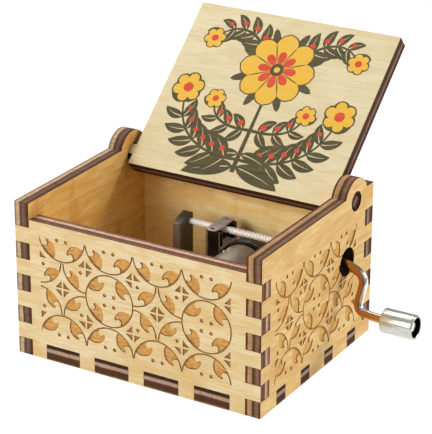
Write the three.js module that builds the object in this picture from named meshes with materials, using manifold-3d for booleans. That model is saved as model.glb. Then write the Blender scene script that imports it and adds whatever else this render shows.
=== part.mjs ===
// Hand-cranked wooden music box: a finger-jointed plywood box with a hinged lid, and inside it
// a small comb-and-cylinder movement turned by a worm shaft and a bent wire crank.
// Millimetres, +Z up, +X towards the crank, -Y towards the front. The origin is at the middle
// of the box's underside. The lid is shown open, leaning back on the rear panel.
import * as THREE from 'three';
import { mergeVertices } from 'three/addons/utils/BufferGeometryUtils.js';
import Module from 'manifold-3d';

const wasm = await Module();
wasm.setup();

// Driving dimensions of the box
const ply = 3.8;
const boxWidth = 64;
const boxDepth = 52;
const sideHeight = 37.8;
const kerf = 0.06;
const seatGap = 0.05;

// Finger joints of the corners and tabs of the bottom
const fingerCount = 8;
const fingerTopLand = 1.9;
const longTabInset = 8.475;
const longTabSpace = 4.15;
const shortTabInset = 5.4;
const shortTabSpace = 7.2;
const tabsPerEdge = 4;

// Hinge ears and lid
const hingeInset = 8.5;
const earRadius = 5.5;
const earHoleRadius = 2.4;
const lidSideGap = 1.2;
const lidFrontLand = 0.9;
const lidTailGap = 0.8;
const lidSeatGap = 0.1;
const lidStopGap = 0.15;
const lidTabWidth = 2.6;
const lidTabRecess = 0.4;
const lidLean = THREE.MathUtils.degToRad(41.5);

// Worm shaft and worm
const shaftBackGap = 8.2;
const shaftZ = 23.15;
const shaftRadius = 0.78;
const journalRadius = 0.95;
const shaftRecess = 0.2;
const shaftInHub = 3.2;
const runningGap = 0.06;
const threadPitch = 0.8;
const threadRoot = 0.66;
const threadCrest = 0.9;
const threadLeftReach = 6;
const threadRightReach = 7.2;
const threadCrestShare = 0.26;
const threadRootShare = 0.56;
const collarRadius = 1.9;
const collarLength = 0.9;

// Worm wheel and music cylinder
const wheelTeeth = 54;
const wheelWidth = 2;
const wheelTipShare = 0.22;
const wheelRootShare = 0.5;
const meshGap = 0.08;
const cylinderInset = 16.1;
const cylinderRadius = 6.6;
const cylinderWall = 0.5;
const cylinderFrontInset = 7.5;
const cylinderToShaft = 3.8;
const capThickness = 1;
const capInset = 0.3;
const pinHeight = 0.45;
const pinRadius = 0.25;
const pinSink = 0.2;
const flangeRadius = 6.85;
const flangeWidth = 1.9;
const flangeGap = 0.3;
const tune = {
  beats: 60, bend: 16, rise: 38, start: 26, spread: 41, chordEvery: 3, turn: THREE.MathUtils.degToRad(2),
};
const arborRadius = 1.25;
const arborOverhang = 1.1;
const clipRadius = 2.2;
const clipWidth = 0.5;

// Comb
const toothCount = 18;
const trackFrontLand = 0.6;
const trackBackLand = 1.9;
const toothGap = 0.24;
const toothThickness = 0.5;
const pluckGap = 0.15;
const shortToothLength = 5.6;
const longToothLength = 7.8;
const combBaseLength = 5.8;
const combMargin = 0.5;
const combScrewInset = 2.4;
const combScrewShare = 0.5556;

// Bed plate, brackets and bearings
const bedThickness = 1.6;
const bedWidth = 40;
const bedRightGap = 5.2;
const bedFrontGap = 6.2;
const bedBackGap = 1.7;
const bedCorner = 2;
const bracketThickness = 0.9;
const bracketRightInset = 5.4;
const bracketWidth = 9;
const bracketTop = 24.6;
const bracketCorner = 1.2;
const holderInset = 6.95;
const holderWidth = 2.35;
const holderFrontReach = 4.5;
const holderBackReach = 1.3;
const holderFrontTop = 23.8;
const holderBackTop = 25.2;
const holderCorner = 0.8;
const holderEdge = 0.6;
const holderFoot = 3.4;
const footLength = 3.9;
const footThickness = 0.9;
const bearingThickness = 1.2;
const bearingWidth = 8;
const bearingTopLand = 3.4;
const bearingCorner = 3.2;
const bearingEndGap = 0.6;

// Bridge that holds the shaft down
const bridgeToCylinder = 8.48;
const bridgeWidth = 3.1;
const bridgeFrontReach = 4.76;
const bridgeBackReach = 4.57;
const bridgeThickness = 0.35;
const bridgeCorner = 1.1;
const bridgeUnderside = 24.15;
const pegRadius = 0.55;
const pegFrontInset = 1;
const pegBackInset = 1.5;
const pegRecess = 0.2;
const postThickness = 1.6;
const postFrontInset = 0.26;
const postBackInset = 0.92;
const postLeftReach = 1.75;
const postRightReach = 2.25;
const postHeadHeight = 5.5;
const legReach = 1.2;
const tieLeftReach = 0.3;
const tieRightReach = 2.35;
const tieTop = 20.2;
const tieThickness = 0.8;
const tieInset = 0.4;

// Hub and crank
const hubRadius = 2.3;
const hubLength = 7.2;
const hubGap = 1.6;
const wireRadius = 1.05;
const wireEndGap = 0.6;
const wireStraightGap = 0.8;
const crankHoleRadius = 3.5;
const crankHoleShift = 0.35;
const crankHoleDrop = 0.9;
const crankLean = THREE.MathUtils.degToRad(17.64);
const armLength = 11.9;
const armOuterReach = 5.2;
const armOuterDrop = 3.2;
const armLowerReach = 4.2;
const armLowerRise = 0.65;
const armFootReach = 8.6;
const wireBend = 1.9;
const knobReach = 11.5;
const knobLength = 8;
const knobRadius = 2.9;
const knobWall = 0.55;
const knobWeb = 3;
const knobChamfer = 0.5;
const wireHeadRadius = 1.6;
const wireHeadLength = 0.6;
const wireHeadGap = 0.3;
const wireTipInset = 0.8;

// Screws: head radius, head height, shank radius, shank length
const bedScrew = { head: 2.3, rise: 1.4, shank: 1.15, length: 3.5 };
const smallScrew = { head: 1.45, rise: 0.8, shank: 0.75, length: 2.1 };
const combScrew = { head: 1.7, rise: 1.1, shank: 0.9, length: 4.6 };
const setScrew = { head: 0.7, rise: 1, shank: 0.5, length: 0.25 };
const slotWidth = 0.45;
const slotDepthShare = 0.45;
const threadHoleGap = 0.08;
const headRecessGap = 0.2;

// How finely round shapes are divided
const roundSteps = 48;
const knobSteps = 36;
const hiddenSteps = 24;
const screwSteps = 16;
const earSteps = 12;
const cornerSteps = 6;
const pinSides = 4;
const wireArcSteps = 6;
const wireSteps = 56;
const wormSides = 10;
const ringsPerPitch = 6;
const overrun = 1;
const weld = 0.0001;

// Places worked out from the sizes above
const halfWidth = boxWidth / 2;
const halfDepth = boxDepth / 2;
const innerX = halfWidth - ply;
const innerY = halfDepth - ply;
const longTabPitch = 2 * (innerX - longTabInset) / (tabsPerEdge - 1);
const longTabWidth = longTabPitch - longTabSpace;
const shortTabPitch = 2 * (innerY - shortTabInset) / (tabsPerEdge - 1);
const shortTabWidth = shortTabPitch - shortTabSpace;
const hingeY = halfDepth - hingeInset;
const hingeZ = sideHeight - ply / 2;
const frontHeight = hingeZ - ply / 2 - lidSeatGap;
const fingerStep = (frontHeight - fingerTopLand) / fingerCount;
const backReach = (innerY - hingeY) * Math.sin(lidLean) - ply / 2 - lidStopGap;
const backHeight = hingeZ + backReach / Math.cos(lidLean);
const lidHalfWidth = innerX - lidSideGap;
const lidReach = hingeY + halfDepth - lidFrontLand;
const lidTail = innerY - hingeY - lidTailGap;
const bedRight = innerX - bedRightGap;
const bedLeft = bedRight - bedWidth;
const bedFront = bedFrontGap - innerY;
const bedBack = innerY - bedBackGap;
const bedBottom = ply + seatGap;
const bedTop = bedBottom + bedThickness;
const standZ = bedTop + seatGap;
const shaftY = innerY - shaftBackGap;
const holderRight = bedLeft + holderInset;
const holderLeft = holderRight - holderWidth;
const holderFront = shaftY - holderFrontReach;
const holderBack = shaftY + holderBackReach;
const holderFootFront = holderFront + holderEdge;
const bracketRightX = bedRight - bracketRightInset;
const hubRight = innerX - hubGap;
const hubLeft = hubRight - hubLength;
const shaftLeftEnd = holderLeft + shaftRecess;
const shaftRightEnd = hubLeft + shaftInHub;
const cylinderX = bedRight - cylinderInset;
const cylinderFront = bedFront + cylinderFrontInset;
const cylinderBack = shaftY - cylinderToShaft;
const tracksFront = cylinderFront + trackFrontLand;
const tracksBack = cylinderBack - trackBackLand;
const tracksMiddle = (tracksFront + tracksBack) / 2;
const toothPitch = (tracksBack - tracksFront) / toothCount;
const threadStart = cylinderX - threadLeftReach;
const threadEnd = cylinderX + threadRightReach;
const bridgeX = cylinderX - bridgeToCylinder;
const tieLeft = bridgeX + tieLeftReach;
const tieRight = bridgeX + tieRightReach;
const wireStart = shaftRightEnd + wireEndGap;
const wireStraightEnd = innerX - wireStraightGap;
const armOuterX = halfWidth + armOuterReach;
const armLowerX = halfWidth + armLowerReach;
const armFootX = halfWidth + armFootReach;
const knobLeft = halfWidth + knobReach;
const wheelPitchRadius = wheelTeeth * threadPitch / (2 * Math.PI);
const wormPitchRadius = (threadRoot + threadCrest) / 2;
const cylinderZ = shaftZ - wormPitchRadius - wheelPitchRadius;
const wheelTip = shaftZ - cylinderZ - threadRoot - meshGap;
const wheelRoot = shaftZ - cylinderZ - threadCrest - meshGap;
const wheelFront = shaftY - wheelWidth / 2;
const wheelBack = shaftY + wheelWidth / 2;
const combTipX = cylinderX - cylinderRadius - pinHeight - pluckGap;
const combRootX = combTipX - longToothLength;
const combLeftX = combRootX - combBaseLength;
const combBack = tracksBack - combMargin / 2;
const combFront = tracksFront + combMargin / 2;
const bearingFrontY = cylinderFront - bearingEndGap - bearingThickness;
const bearingBackY = wheelBack + flangeWidth;
const bridgeFront = shaftY - bridgeFrontReach;
const bridgeBack = shaftY + bridgeBackReach;
const postFront = bridgeFront + postFrontInset;
const postBack = bridgeBack - postBackInset;

const colour = {
  wood: { color: '#e6cf96', roughness: 0.75, metalness: 0 },
  woodSide: { color: '#dfbd80', roughness: 0.75, metalness: 0 },
  darkSteel: { color: '#57534f', roughness: 0.45, metalness: 0.8 },
  greySteel: { color: '#9a9194', roughness: 0.35, metalness: 0.9 },
  brightSteel: { color: '#d9d6d2', roughness: 0.22, metalness: 1 },
  black: { color: '#1d1b1a', roughness: 0.5, metalness: 0.2 },
  zinc: { color: '#8e8c88', roughness: 0.5, metalness: 0.8 },
  brass: { color: '#c9a35a', roughness: 0.35, metalness: 1 },
  chrome: { color: '#d8d8da', roughness: 0.12, metalness: 1 },
};

// Keeps only the corners' places, joins equal corners, drops flat slivers and turns faces outwards
function closed(source) {
  const bare = new THREE.BufferGeometry();
  bare.setAttribute('position', source.getAttribute('position').clone());
  if (source.index) bare.setIndex(source.index.clone());
  const merged = mergeVertices(bare, weld);
  const place = merged.getAttribute('position');
  const kept = [];
  for (let i = 0; i < merged.index.count; i += 3) {
    const [a, b, c] = [0, 1, 2].map((k) => merged.index.getX(i + k));
    if (a !== b && b !== c && c !== a) kept.push([a, b, c]);
  }
  const corner = (i) => new THREE.Vector3().fromBufferAttribute(place, i);
  let volume = 0;
  for (const [a, b, c] of kept) volume += corner(a).dot(corner(b).cross(corner(c)));
  const outward = volume < 0 ? kept.map(([a, b, c]) => [a, c, b]) : kept;
  merged.setIndex(outward.flat());
  return merged;
}

function solid(source) {
  const shell = closed(source);
  return new wasm.Manifold(new wasm.Mesh({
    numProp: 3,
    vertProperties: new Float32Array(shell.getAttribute('position').array),
    triVerts: new Uint32Array(shell.index.array),
  }));
}

function shellOf(body) {
  const mesh = body.getMesh();
  const shell = new THREE.BufferGeometry();
  shell.setAttribute('position', new THREE.Float32BufferAttribute(mesh.vertProperties, 3));
  shell.setIndex([...mesh.triVerts]);
  return shell;
}

function cut(source, ...tools) {
  return shellOf(tools.reduce((body, tool) => body.subtract(solid(tool)), solid(source)));
}

function join(source, ...others) {
  return shellOf(others.reduce((body, other) => body.add(solid(other)), solid(source)));
}

function common(first, second) {
  return shellOf(solid(first).intersect(solid(second)));
}

function node(name, geometry, look) {
  const shell = closed(geometry).toNonIndexed();
  shell.computeVertexNormals();
  const mesh = new THREE.Mesh(shell, new THREE.MeshStandardMaterial(look));
  mesh.name = name;
  return mesh;
}

function polygon(points) {
  return new THREE.Shape(points.map(([u, v]) => new THREE.Vector2(u, v)));
}

function roundHole(shape, u, v, radius) {
  const hole = new THREE.Path();
  hole.absarc(u, v, radius, 0, 2 * Math.PI, true);
  shape.holes.push(hole);
}

function roundedRectangle(left, right, low, high, radius) {
  const shape = new THREE.Shape();
  shape.absarc(right - radius, high - radius, radius, 0, Math.PI / 2);
  shape.absarc(left + radius, high - radius, radius, Math.PI / 2, Math.PI);
  shape.absarc(left + radius, low + radius, radius, Math.PI, 3 * Math.PI / 2);
  shape.absarc(right - radius, low + radius, radius, 3 * Math.PI / 2, 2 * Math.PI);
  return shape;
}

function slab(shape, depth, curveSegments = cornerSteps) {
  return new THREE.ExtrudeGeometry(shape, { depth, bevelEnabled: false, curveSegments });
}

function block(x0, x1, y0, y1, z0, z1) {
  const box = new THREE.BoxGeometry(x1 - x0, y1 - y0, z1 - z0);
  return box.translate((x0 + x1) / 2, (y0 + y1) / 2, (z0 + z1) / 2);
}

// A round rod standing on the XY plane at (x, y), from z0 to z1
function rod(radius, x, y, z0, z1, steps = screwSteps) {
  const shape = new THREE.CylinderGeometry(radius, radius, z1 - z0, steps);
  return shape.rotateX(Math.PI / 2).translate(x, y, (z0 + z1) / 2);
}

// A turned piece along Z from [radius, z] points that start and end on the axis or close
function turned(points, steps = roundSteps) {
  const profile = points.map(([radius, z]) => new THREE.Vector2(radius, z));
  return new THREE.LatheGeometry(profile, steps).rotateX(Math.PI / 2);
}

function ring(inner, outer, z0, z1, steps = roundSteps) {
  return turned([[inner, z0], [outer, z0], [outer, z1], [inner, z1], [inner, z0]], steps);
}

// Turns a slab drawn on the plane of Y and Z, pushed along +X from x
function onSide(mesh, x) {
  const turn = new THREE.Matrix4().makeBasis(
    new THREE.Vector3(0, 1, 0), new THREE.Vector3(0, 0, 1), new THREE.Vector3(1, 0, 0));
  mesh.quaternion.setFromRotationMatrix(turn);
  mesh.position.set(x, 0, 0);
  return mesh;
}

// Turns a slab drawn on the plane of X and Z, pushed along -Y from y
function onFront(mesh, y) {
  mesh.rotation.x = Math.PI / 2;
  mesh.position.set(0, y, 0);
  return mesh;
}

// A slotted screw along Z, head up, with the underside of its head at height zero
function screw(size) {
  const body = turned([[0, -size.length], [size.shank, -size.length], [size.shank, 0],
    [size.head, 0], [size.head, size.rise], [0, size.rise]], screwSteps);
  const reach = size.head + overrun;
  const floor = size.rise * (1 - slotDepthShare);
  const top = size.rise + overrun;
  return cut(body, block(-reach, reach, -slotWidth / 2, slotWidth / 2, floor, top));
}

// Heights of the fingers that a front or rear panel pushes through the sides
function tabHeights() {
  const spans = [];
  for (let i = 1; i < fingerCount; i += 2) spans.push([i * fingerStep, (i + 1) * fingerStep]);
  return spans;
}

function tabPlaces(pitch) {
  return Array.from({ length: tabsPerEdge }, (_, i) => (i - (tabsPerEdge - 1) / 2) * pitch);
}

// Bottom edge from left to right, with notches for the bottom panel's tabs
function notchedEdge(width, pitch) {
  const half = width / 2 + kerf;
  const top = ply + kerf;
  return tabPlaces(pitch).flatMap((u) => [[u - half, 0], [u - half, top], [u + half, top], [u + half, 0]]);
}

function endPanelShape(height) {
  const edge = [[innerX - kerf, 0]];
  for (const [low, high] of tabHeights()) {
    edge.push([innerX - kerf, low + kerf], [halfWidth, low + kerf]);
    edge.push([halfWidth, high - kerf], [innerX - kerf, high - kerf]);
  }
  edge.push([innerX - kerf, height]);
  const mirrored = edge.map(([u, v]) => [-u, v]).reverse();
  return polygon([...notchedEdge(longTabWidth, longTabPitch), ...edge, ...mirrored]);
}

function sidePanelShape() {
  const recess = innerY - kerf;
  const back = [[halfDepth, 0]];
  for (const [low, high] of tabHeights()) {
    back.push([halfDepth, low - kerf], [recess, low - kerf]);
    back.push([recess, high + kerf], [halfDepth, high + kerf]);
  }
  const front = back.map(([u, v]) => [-u, v]).reverse();
  const shape = polygon([...notchedEdge(shortTabWidth, shortTabPitch), ...back, [halfDepth, sideHeight]]);
  const rise = Math.asin((sideHeight - hingeZ) / earRadius);
  shape.lineTo(hingeY + earRadius * Math.cos(rise), sideHeight);
  shape.absarc(hingeY, hingeZ, earRadius, rise, Math.PI - rise);
  shape.lineTo(-halfDepth, sideHeight);
  for (const [u, v] of front) shape.lineTo(u, v);
  roundHole(shape, hingeY, hingeZ, earHoleRadius);
  return shape;
}

function bottomPanel() {
  const x = innerX - kerf;
  const y = innerY - kerf;
  const longHalf = longTabWidth / 2;
  const shortHalf = shortTabWidth / 2;
  const front = tabPlaces(longTabPitch).flatMap((u) => [
    [u - longHalf, -y], [u - longHalf, -halfDepth], [u + longHalf, -halfDepth], [u + longHalf, -y]]);
  const right = tabPlaces(shortTabPitch).flatMap((v) => [
    [x, v - shortHalf], [halfWidth, v - shortHalf], [halfWidth, v + shortHalf], [x, v + shortHalf]]);
  const half = [[-x, -y], ...front, [x, -y], ...right];
  const shape = polygon([...half, ...half.map(([u, v]) => [-u, -v])]);
  let panel = slab(shape, ply);
  for (const [u, v] of bedScrewPlaces) {
    const recess = bedScrew.rise + headRecessGap;
    panel = cut(panel, rod(bedScrew.head + headRecessGap, u, v, -overrun, recess, hiddenSteps));
    panel = cut(panel, rod(bedScrew.shank + threadHoleGap, u, v, 0, ply + overrun));
  }
  return node('bottom_panel', panel, colour.wood);
}

function frontAndBack() {
  const front = onFront(node('front_panel', slab(endPanelShape(frontHeight), ply), colour.wood), -innerY);
  const back = onFront(node('back_panel', slab(endPanelShape(backHeight), ply), colour.wood), halfDepth);
  return [front, back];
}

function sidePanels() {
  const left = onSide(node('left_panel', slab(sidePanelShape(), ply, earSteps), colour.wood), -halfWidth);
  const drilled = sidePanelShape();
  roundHole(drilled, shaftY - crankHoleShift, shaftZ - crankHoleDrop, crankHoleRadius);
  const right = onSide(node('right_panel', slab(drilled, ply, earSteps), colour.woodSide), innerX);
  return [left, right];
}

// The lid is drawn shut, with its hinge line at the origin, and its group leans it back
function lid() {
  const tab = innerX + ply - lidTabRecess;
  const half = lidTabWidth / 2;
  const right = [[lidHalfWidth, -lidReach], [lidHalfWidth, -half], [tab, -half], [tab, half],
    [lidHalfWidth, half], [lidHalfWidth, lidTail]];
  const outline = polygon([...right, ...right.map(([u, v]) => [-u, v]).reverse()]);
  const board = node('lid', slab(outline, ply).translate(0, 0, -ply / 2), colour.wood);
  const leaning = new THREE.Group();
  leaning.position.set(0, hingeY, hingeZ);
  leaning.rotation.x = lidLean - Math.PI;
  leaning.add(board);
  return leaning;
}

const bedScrewPlaces = [
  [bedLeft + bedCorner + bedScrew.head, bedFront + bedCorner + bedScrew.head],
  [bedRight - bedCorner - bedScrew.head, bedFront + bedCorner + bedScrew.head],
  [bedLeft + bedCorner + bedScrew.head, bedBack - footLength - bracketWidth - bedScrew.head],
];

const footMiddle = footLength / 2 + bracketThickness / 2;
const bearingFootFront = bearingFrontY - footLength / 2;
const bearingFootBack = bearingBackY - footLength / 2;
const smallScrewPlaces = {
  left_bracket_screw: [holderLeft - holderFoot / 2, (holderFootFront + holderBack) / 2],
  right_bracket_screw: [bracketRightX + footMiddle, shaftY],
  front_bearing_screw: [cylinderX, bearingFootFront],
  rear_bearing_screw: [cylinderX, bearingFootBack],
};

function bed() {
  const shape = roundedRectangle(bedLeft, bedRight, bedFront, bedBack, bedCorner);
  const bedHole = bedScrew.shank + threadHoleGap;
  const smallHole = smallScrew.shank + threadHoleGap;
  for (const [u, v] of bedScrewPlaces) roundHole(shape, u, v, bedHole);
  for (const [u, v] of Object.values(smallScrewPlaces)) roundHole(shape, u, v, smallHole);
  const plate = node('bed_plate', slab(shape, bedThickness), colour.zinc);
  plate.position.z = bedBottom;
  const screws = bedScrewPlaces.map(([u, v], i) => {
    const fastener = node(`bed_screw_${i + 1}`, screw(bedScrew), colour.brightSteel);
    fastener.rotation.x = Math.PI;
    fastener.position.set(u, v, bedScrew.rise + headRecessGap / 2);
    return fastener;
  });
  return [plate, ...screws];
}

function smallScrews() {
  return Object.entries(smallScrewPlaces).map(([name, [u, v]]) => {
    const fastener = node(name, screw(smallScrew), colour.brightSteel);
    fastener.position.set(u, v, standZ + footThickness + seatGap);
    return fastener;
  });
}

// An upright plate with a bore for a shaft and a foot that a screw holds to the bed.
// Drawn with its wall on the plane of Y and Z and its foot towards -X.
function upright({ width, top, corner, thickness, boreZ, boreRadius }) {
  const wall = roundedRectangle(-width / 2, width / 2, 0, top, corner);
  roundHole(wall, 0, boreZ, boreRadius);
  const turn = new THREE.Matrix4().makeBasis(
    new THREE.Vector3(0, 1, 0), new THREE.Vector3(0, 0, 1), new THREE.Vector3(1, 0, 0));
  const plate = slab(wall, thickness).applyMatrix4(turn).translate(-thickness / 2, 0, 0);
  const half = width / 2;
  const foot = block(-footLength - thickness / 2, thickness / 2, -half, half, 0, footThickness);
  const middle = -footLength / 2 - thickness / 2;
  const hole = rod(smallScrew.shank + threadHoleGap, middle, 0, -overrun, footThickness + overrun);
  return cut(join(plate, foot), hole);
}

// The block that holds the shaft's left end: rounded front corners and a top that rises to the back
function leftBracket() {
  const plan = new THREE.Shape();
  plan.absarc(holderLeft + holderEdge, holderFootFront, holderEdge, Math.PI, 1.5 * Math.PI);
  plan.absarc(holderRight - holderEdge, holderFootFront, holderEdge, 1.5 * Math.PI, 2 * Math.PI);
  plan.lineTo(holderRight, holderBack);
  plan.lineTo(holderLeft, holderBack);
  const side = new THREE.Shape();
  side.moveTo(holderFront - overrun, 0);
  side.lineTo(holderBack + overrun, 0);
  side.lineTo(holderBack + overrun, holderBackTop - holderCorner);
  side.lineTo(holderBack, holderBackTop - holderCorner);
  side.quadraticCurveTo(holderBack, holderBackTop, holderBack - holderCorner, holderBackTop);
  side.lineTo(holderFront, holderFrontTop);
  side.lineTo(holderFront - overrun, holderFrontTop);
  const turn = new THREE.Matrix4().makeBasis(
    new THREE.Vector3(0, 1, 0), new THREE.Vector3(0, 0, 1), new THREE.Vector3(1, 0, 0));
  const profile = slab(side, holderWidth + 2 * overrun).applyMatrix4(turn);
  profile.translate(holderLeft - overrun, 0, 0);
  const column = slab(plan, holderBackTop + overrun - standZ).translate(0, 0, standZ);
  const footTop = standZ + footThickness;
  const [screwX, screwY] = smallScrewPlaces.left_bracket_screw;
  const foot = block(holderLeft - holderFoot, holderRight - holderWidth / 2, holderFootFront, holderBack,
    standZ, footTop);
  const hole = rod(smallScrew.shank + threadHoleGap, screwX, screwY, standZ - overrun, footTop + overrun);
  const bore = rod(shaftRadius + runningGap, 0, 0, -holderWidth - overrun, overrun);
  bore.rotateY(Math.PI / 2).translate(holderRight, shaftY, shaftZ);
  return node('left_bracket', cut(join(common(column, profile), foot), hole, bore), colour.darkSteel);
}

function rightBracket() {
  const right = node('right_bracket', upright({
    width: bracketWidth,
    top: bracketTop - standZ,
    corner: bracketCorner,
    thickness: bracketThickness,
    boreZ: shaftZ - standZ,
    boreRadius: journalRadius + runningGap,
  }), colour.darkSteel);
  right.position.set(bracketRightX, shaftY, standZ);
  right.rotation.z = Math.PI;
  return right;
}

function arborBearings() {
  const size = {
    width: bearingWidth,
    top: cylinderZ - standZ + bearingTopLand,
    corner: bearingCorner,
    thickness: bearingThickness,
    boreZ: cylinderZ - standZ,
    boreRadius: arborRadius + runningGap,
  };
  const front = node('front_bearing', upright(size), colour.zinc);
  front.position.set(cylinderX, bearingFrontY + bearingThickness / 2, standZ);
  front.rotation.z = Math.PI / 2;
  const rear = node('rear_bearing', upright(size), colour.zinc);
  rear.position.set(cylinderX, bearingBackY + bearingThickness / 2, standZ);
  rear.rotation.z = Math.PI / 2;
  return [front, rear];
}

// Two black posts, the plate that their pegs hold over the shaft, and a tie bar in their slots
function bridge() {
  const postLeft = bridgeX - postLeftReach;
  const postTop = bridgeUnderside - seatGap;
  const tieFront = postFront + tieInset;
  const tieBack = postBack - tieInset;
  const slot = block(tieLeft - seatGap, tieRight + overrun, tieFront - seatGap, tieBack + seatGap,
    tieTop - tieThickness - seatGap, tieTop + seatGap);
  const post = (name, near, pegY) => {
    const far = near + postThickness;
    const leg = block(postLeft, bridgeX + legReach, near, far, standZ, postTop);
    const headBottom = postTop - postHeadHeight;
    const head = block(postLeft, bridgeX + postRightReach, near, far, headBottom, postTop);
    const peg = rod(pegRadius, bridgeX, pegY, headBottom, bridgeUnderside + bridgeThickness - pegRecess);
    return node(name, cut(join(leg, head, peg), slot), colour.black);
  };
  const pegFront = bridgeFront + pegFrontInset;
  const pegBack = bridgeBack - pegBackInset;
  const shape = roundedRectangle(bridgeX - bridgeWidth / 2, bridgeX + bridgeWidth / 2,
    bridgeFront, bridgeBack, bridgeCorner);
  roundHole(shape, bridgeX, pegFront, pegRadius + runningGap);
  roundHole(shape, bridgeX, pegBack, pegRadius + runningGap);
  const plate = node('bridge_plate', slab(shape, bridgeThickness), colour.greySteel);
  plate.position.z = bridgeUnderside;
  const bar = block(tieLeft, tieRight, tieFront, tieBack, tieTop - tieThickness, tieTop);
  const tie = node('bridge_tie', bar, colour.greySteel);
  const front = post('bridge_post_front', postFront, pegFront);
  const rear = post('bridge_post_rear', postBack - postThickness, pegBack);
  return [front, rear, plate, tie];
}

// Joins rings of points into one closed skin, with a fan of triangles over each end
function loft(rings) {
  const sides = rings[0].length;
  const corners = rings.flat(2);
  const faces = [];
  for (let i = 0; i + 1 < rings.length; i += 1) {
    for (let k = 0; k < sides; k += 1) {
      const a = i * sides + k;
      const b = i * sides + (k + 1) % sides;
      faces.push(a, a + sides, b, b, a + sides, b + sides);
    }
  }
  const last = (rings.length - 1) * sides;
  for (let k = 1; k + 1 < sides; k += 1) {
    faces.push(0, k, k + 1);
    faces.push(last, last + k + 1, last + k);
  }
  const skin = new THREE.BufferGeometry();
  skin.setAttribute('position', new THREE.Float32BufferAttribute(corners, 3));
  skin.setIndex(faces);
  return skin;
}

// Share of the thread's height at a place along the pitch, counted from the middle of its crest
function threadRise(turns) {
  const away = Math.abs(turns - Math.round(turns));
  const slope = (threadRootShare / 2 - away) / (threadRootShare / 2 - threadCrestShare / 2);
  return THREE.MathUtils.clamp(slope, 0, 1);
}

// A right-hand worm: at the bottom of the shaft a crest lies over the middle of the wheel
function wormShaft() {
  const down = -Math.PI / 2;
  const circle = (x, radius) => Array.from({ length: wormSides }, (_, k) => {
    const angle = 2 * Math.PI * k / wormSides;
    const reach = radius(x, angle);
    return [x, reach * Math.cos(angle), reach * Math.sin(angle)];
  });
  const plain = () => shaftRadius;
  const journal = () => journalRadius;
  const root = () => threadRoot;
  const thread = (x, angle) => {
    const turns = (x - cylinderX) / threadPitch - (angle - down) / (2 * Math.PI);
    return threadRoot + (threadCrest - threadRoot) * threadRise(turns);
  };
  const rings = [circle(shaftLeftEnd, plain), circle(threadStart - threadPitch, plain)];
  rings.push(circle(threadStart - threadPitch / 2, root));
  const steps = Math.round((threadEnd - threadStart) / threadPitch * ringsPerPitch);
  for (let i = 0; i <= steps; i += 1) {
    rings.push(circle(threadStart + (threadEnd - threadStart) * i / steps, thread));
  }
  rings.push(circle(threadEnd + threadPitch / 2, root), circle(threadEnd + threadPitch, journal));
  rings.push(circle(shaftRightEnd, journal));
  return node('worm_shaft', loft(rings), colour.brightSteel);
}

function alongX(mesh, x = 0) {
  mesh.rotation.y = Math.PI / 2;
  mesh.position.x = x;
  return mesh;
}

function shaftGroup() {
  const group = new THREE.Group();
  group.position.set(0, shaftY, shaftZ);
  const collar = node('shaft_collar', ring(journalRadius + runningGap / 2, collarRadius, 0, collarLength,
    hiddenSteps), colour.brass);
  alongX(collar, bracketRightX - bracketThickness / 2 - runningGap - collarLength);
  const bore = wireRadius + runningGap / 2;
  const middle = (hubLeft + hubRight) / 2;
  const screwRoom = setScrew.head + threadHoleGap;
  const quarter = (hubRight - hubLeft) / 4;
  const hubShell = ring(bore, hubRadius, 0, hubRight - hubLeft, hiddenSteps).rotateY(Math.PI / 2);
  const holes = [-quarter, quarter].map((shift) =>
    rod(screwRoom, middle - hubLeft + shift, 0, 0, hubRadius + overrun));
  const hub = node('crank_hub', cut(hubShell, ...holes), colour.brightSteel);
  hub.position.x = hubLeft;
  const screws = [-quarter, quarter].map((shift, i) => {
    const fastener = node(`hub_set_screw_${i + 1}`, screw(setScrew), colour.darkSteel);
    fastener.position.set(middle + shift, 0, wireRadius + setScrew.length + seatGap);
    return fastener;
  });
  group.add(wormShaft(), collar, hub, ...screws);
  return group;
}

// Straight stretches with rounded bends through the given [x, drop] corners
function bentPath(corners, bend) {
  const spots = corners.map(([x, drop]) => new THREE.Vector3(x, 0, -drop));
  const path = new THREE.CurvePath();
  let from = spots[0];
  for (let i = 1; i + 1 < spots.length; i += 1) {
    const before = spots[i - 1].clone().sub(spots[i]).setLength(bend).add(spots[i]);
    const after = spots[i + 1].clone().sub(spots[i]).setLength(bend).add(spots[i]);
    path.add(new THREE.LineCurve3(from, before));
    path.add(new THREE.QuadraticBezierCurve3(before, spots[i], after));
    from = after;
  }
  path.add(new THREE.LineCurve3(from, spots[spots.length - 1]));
  return path;
}

function crank() {
  const group = new THREE.Group();
  group.position.set(0, shaftY, shaftZ);
  group.rotation.x = -crankLean;
  const headStart = knobLeft + knobWeb + wireHeadGap;
  const wireTip = knobLeft + knobLength - wireTipInset;
  const path = bentPath([[wireStart, 0], [wireStraightEnd, 0], [armOuterX, armOuterDrop],
    [armLowerX, armLength - armLowerRise], [armFootX, armLength], [wireTip, armLength]], wireBend);
  const section = new THREE.Shape();
  section.absarc(0, 0, wireRadius, 0, 2 * Math.PI);
  const wire = new THREE.ExtrudeGeometry(section,
    { steps: wireSteps, curveSegments: wireArcSteps, extrudePath: path, bevelEnabled: false });
  const head = ring(wireRadius / 2, wireHeadRadius, 0, wireHeadLength, hiddenSteps);
  head.rotateY(Math.PI / 2).translate(headStart, 0, -armLength);
  const bent = node('crank_wire', join(wire, head), colour.chrome);
  const bore = wireRadius + runningGap;
  const cup = knobRadius - knobWall;
  const profile = [[bore, 0], [knobRadius - knobChamfer, 0], [knobRadius, knobChamfer],
    [knobRadius, knobLength - knobChamfer / 2], [knobRadius - knobChamfer / 2, knobLength],
    [cup, knobLength], [cup, knobWeb], [bore, knobWeb], [bore, 0]];
  const knob = node('crank_knob', turned(profile, knobSteps), colour.chrome);
  knob.rotation.y = Math.PI / 2;
  knob.position.set(knobLeft, 0, -armLength);
  group.add(bent, knob);
  return group;
}

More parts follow.
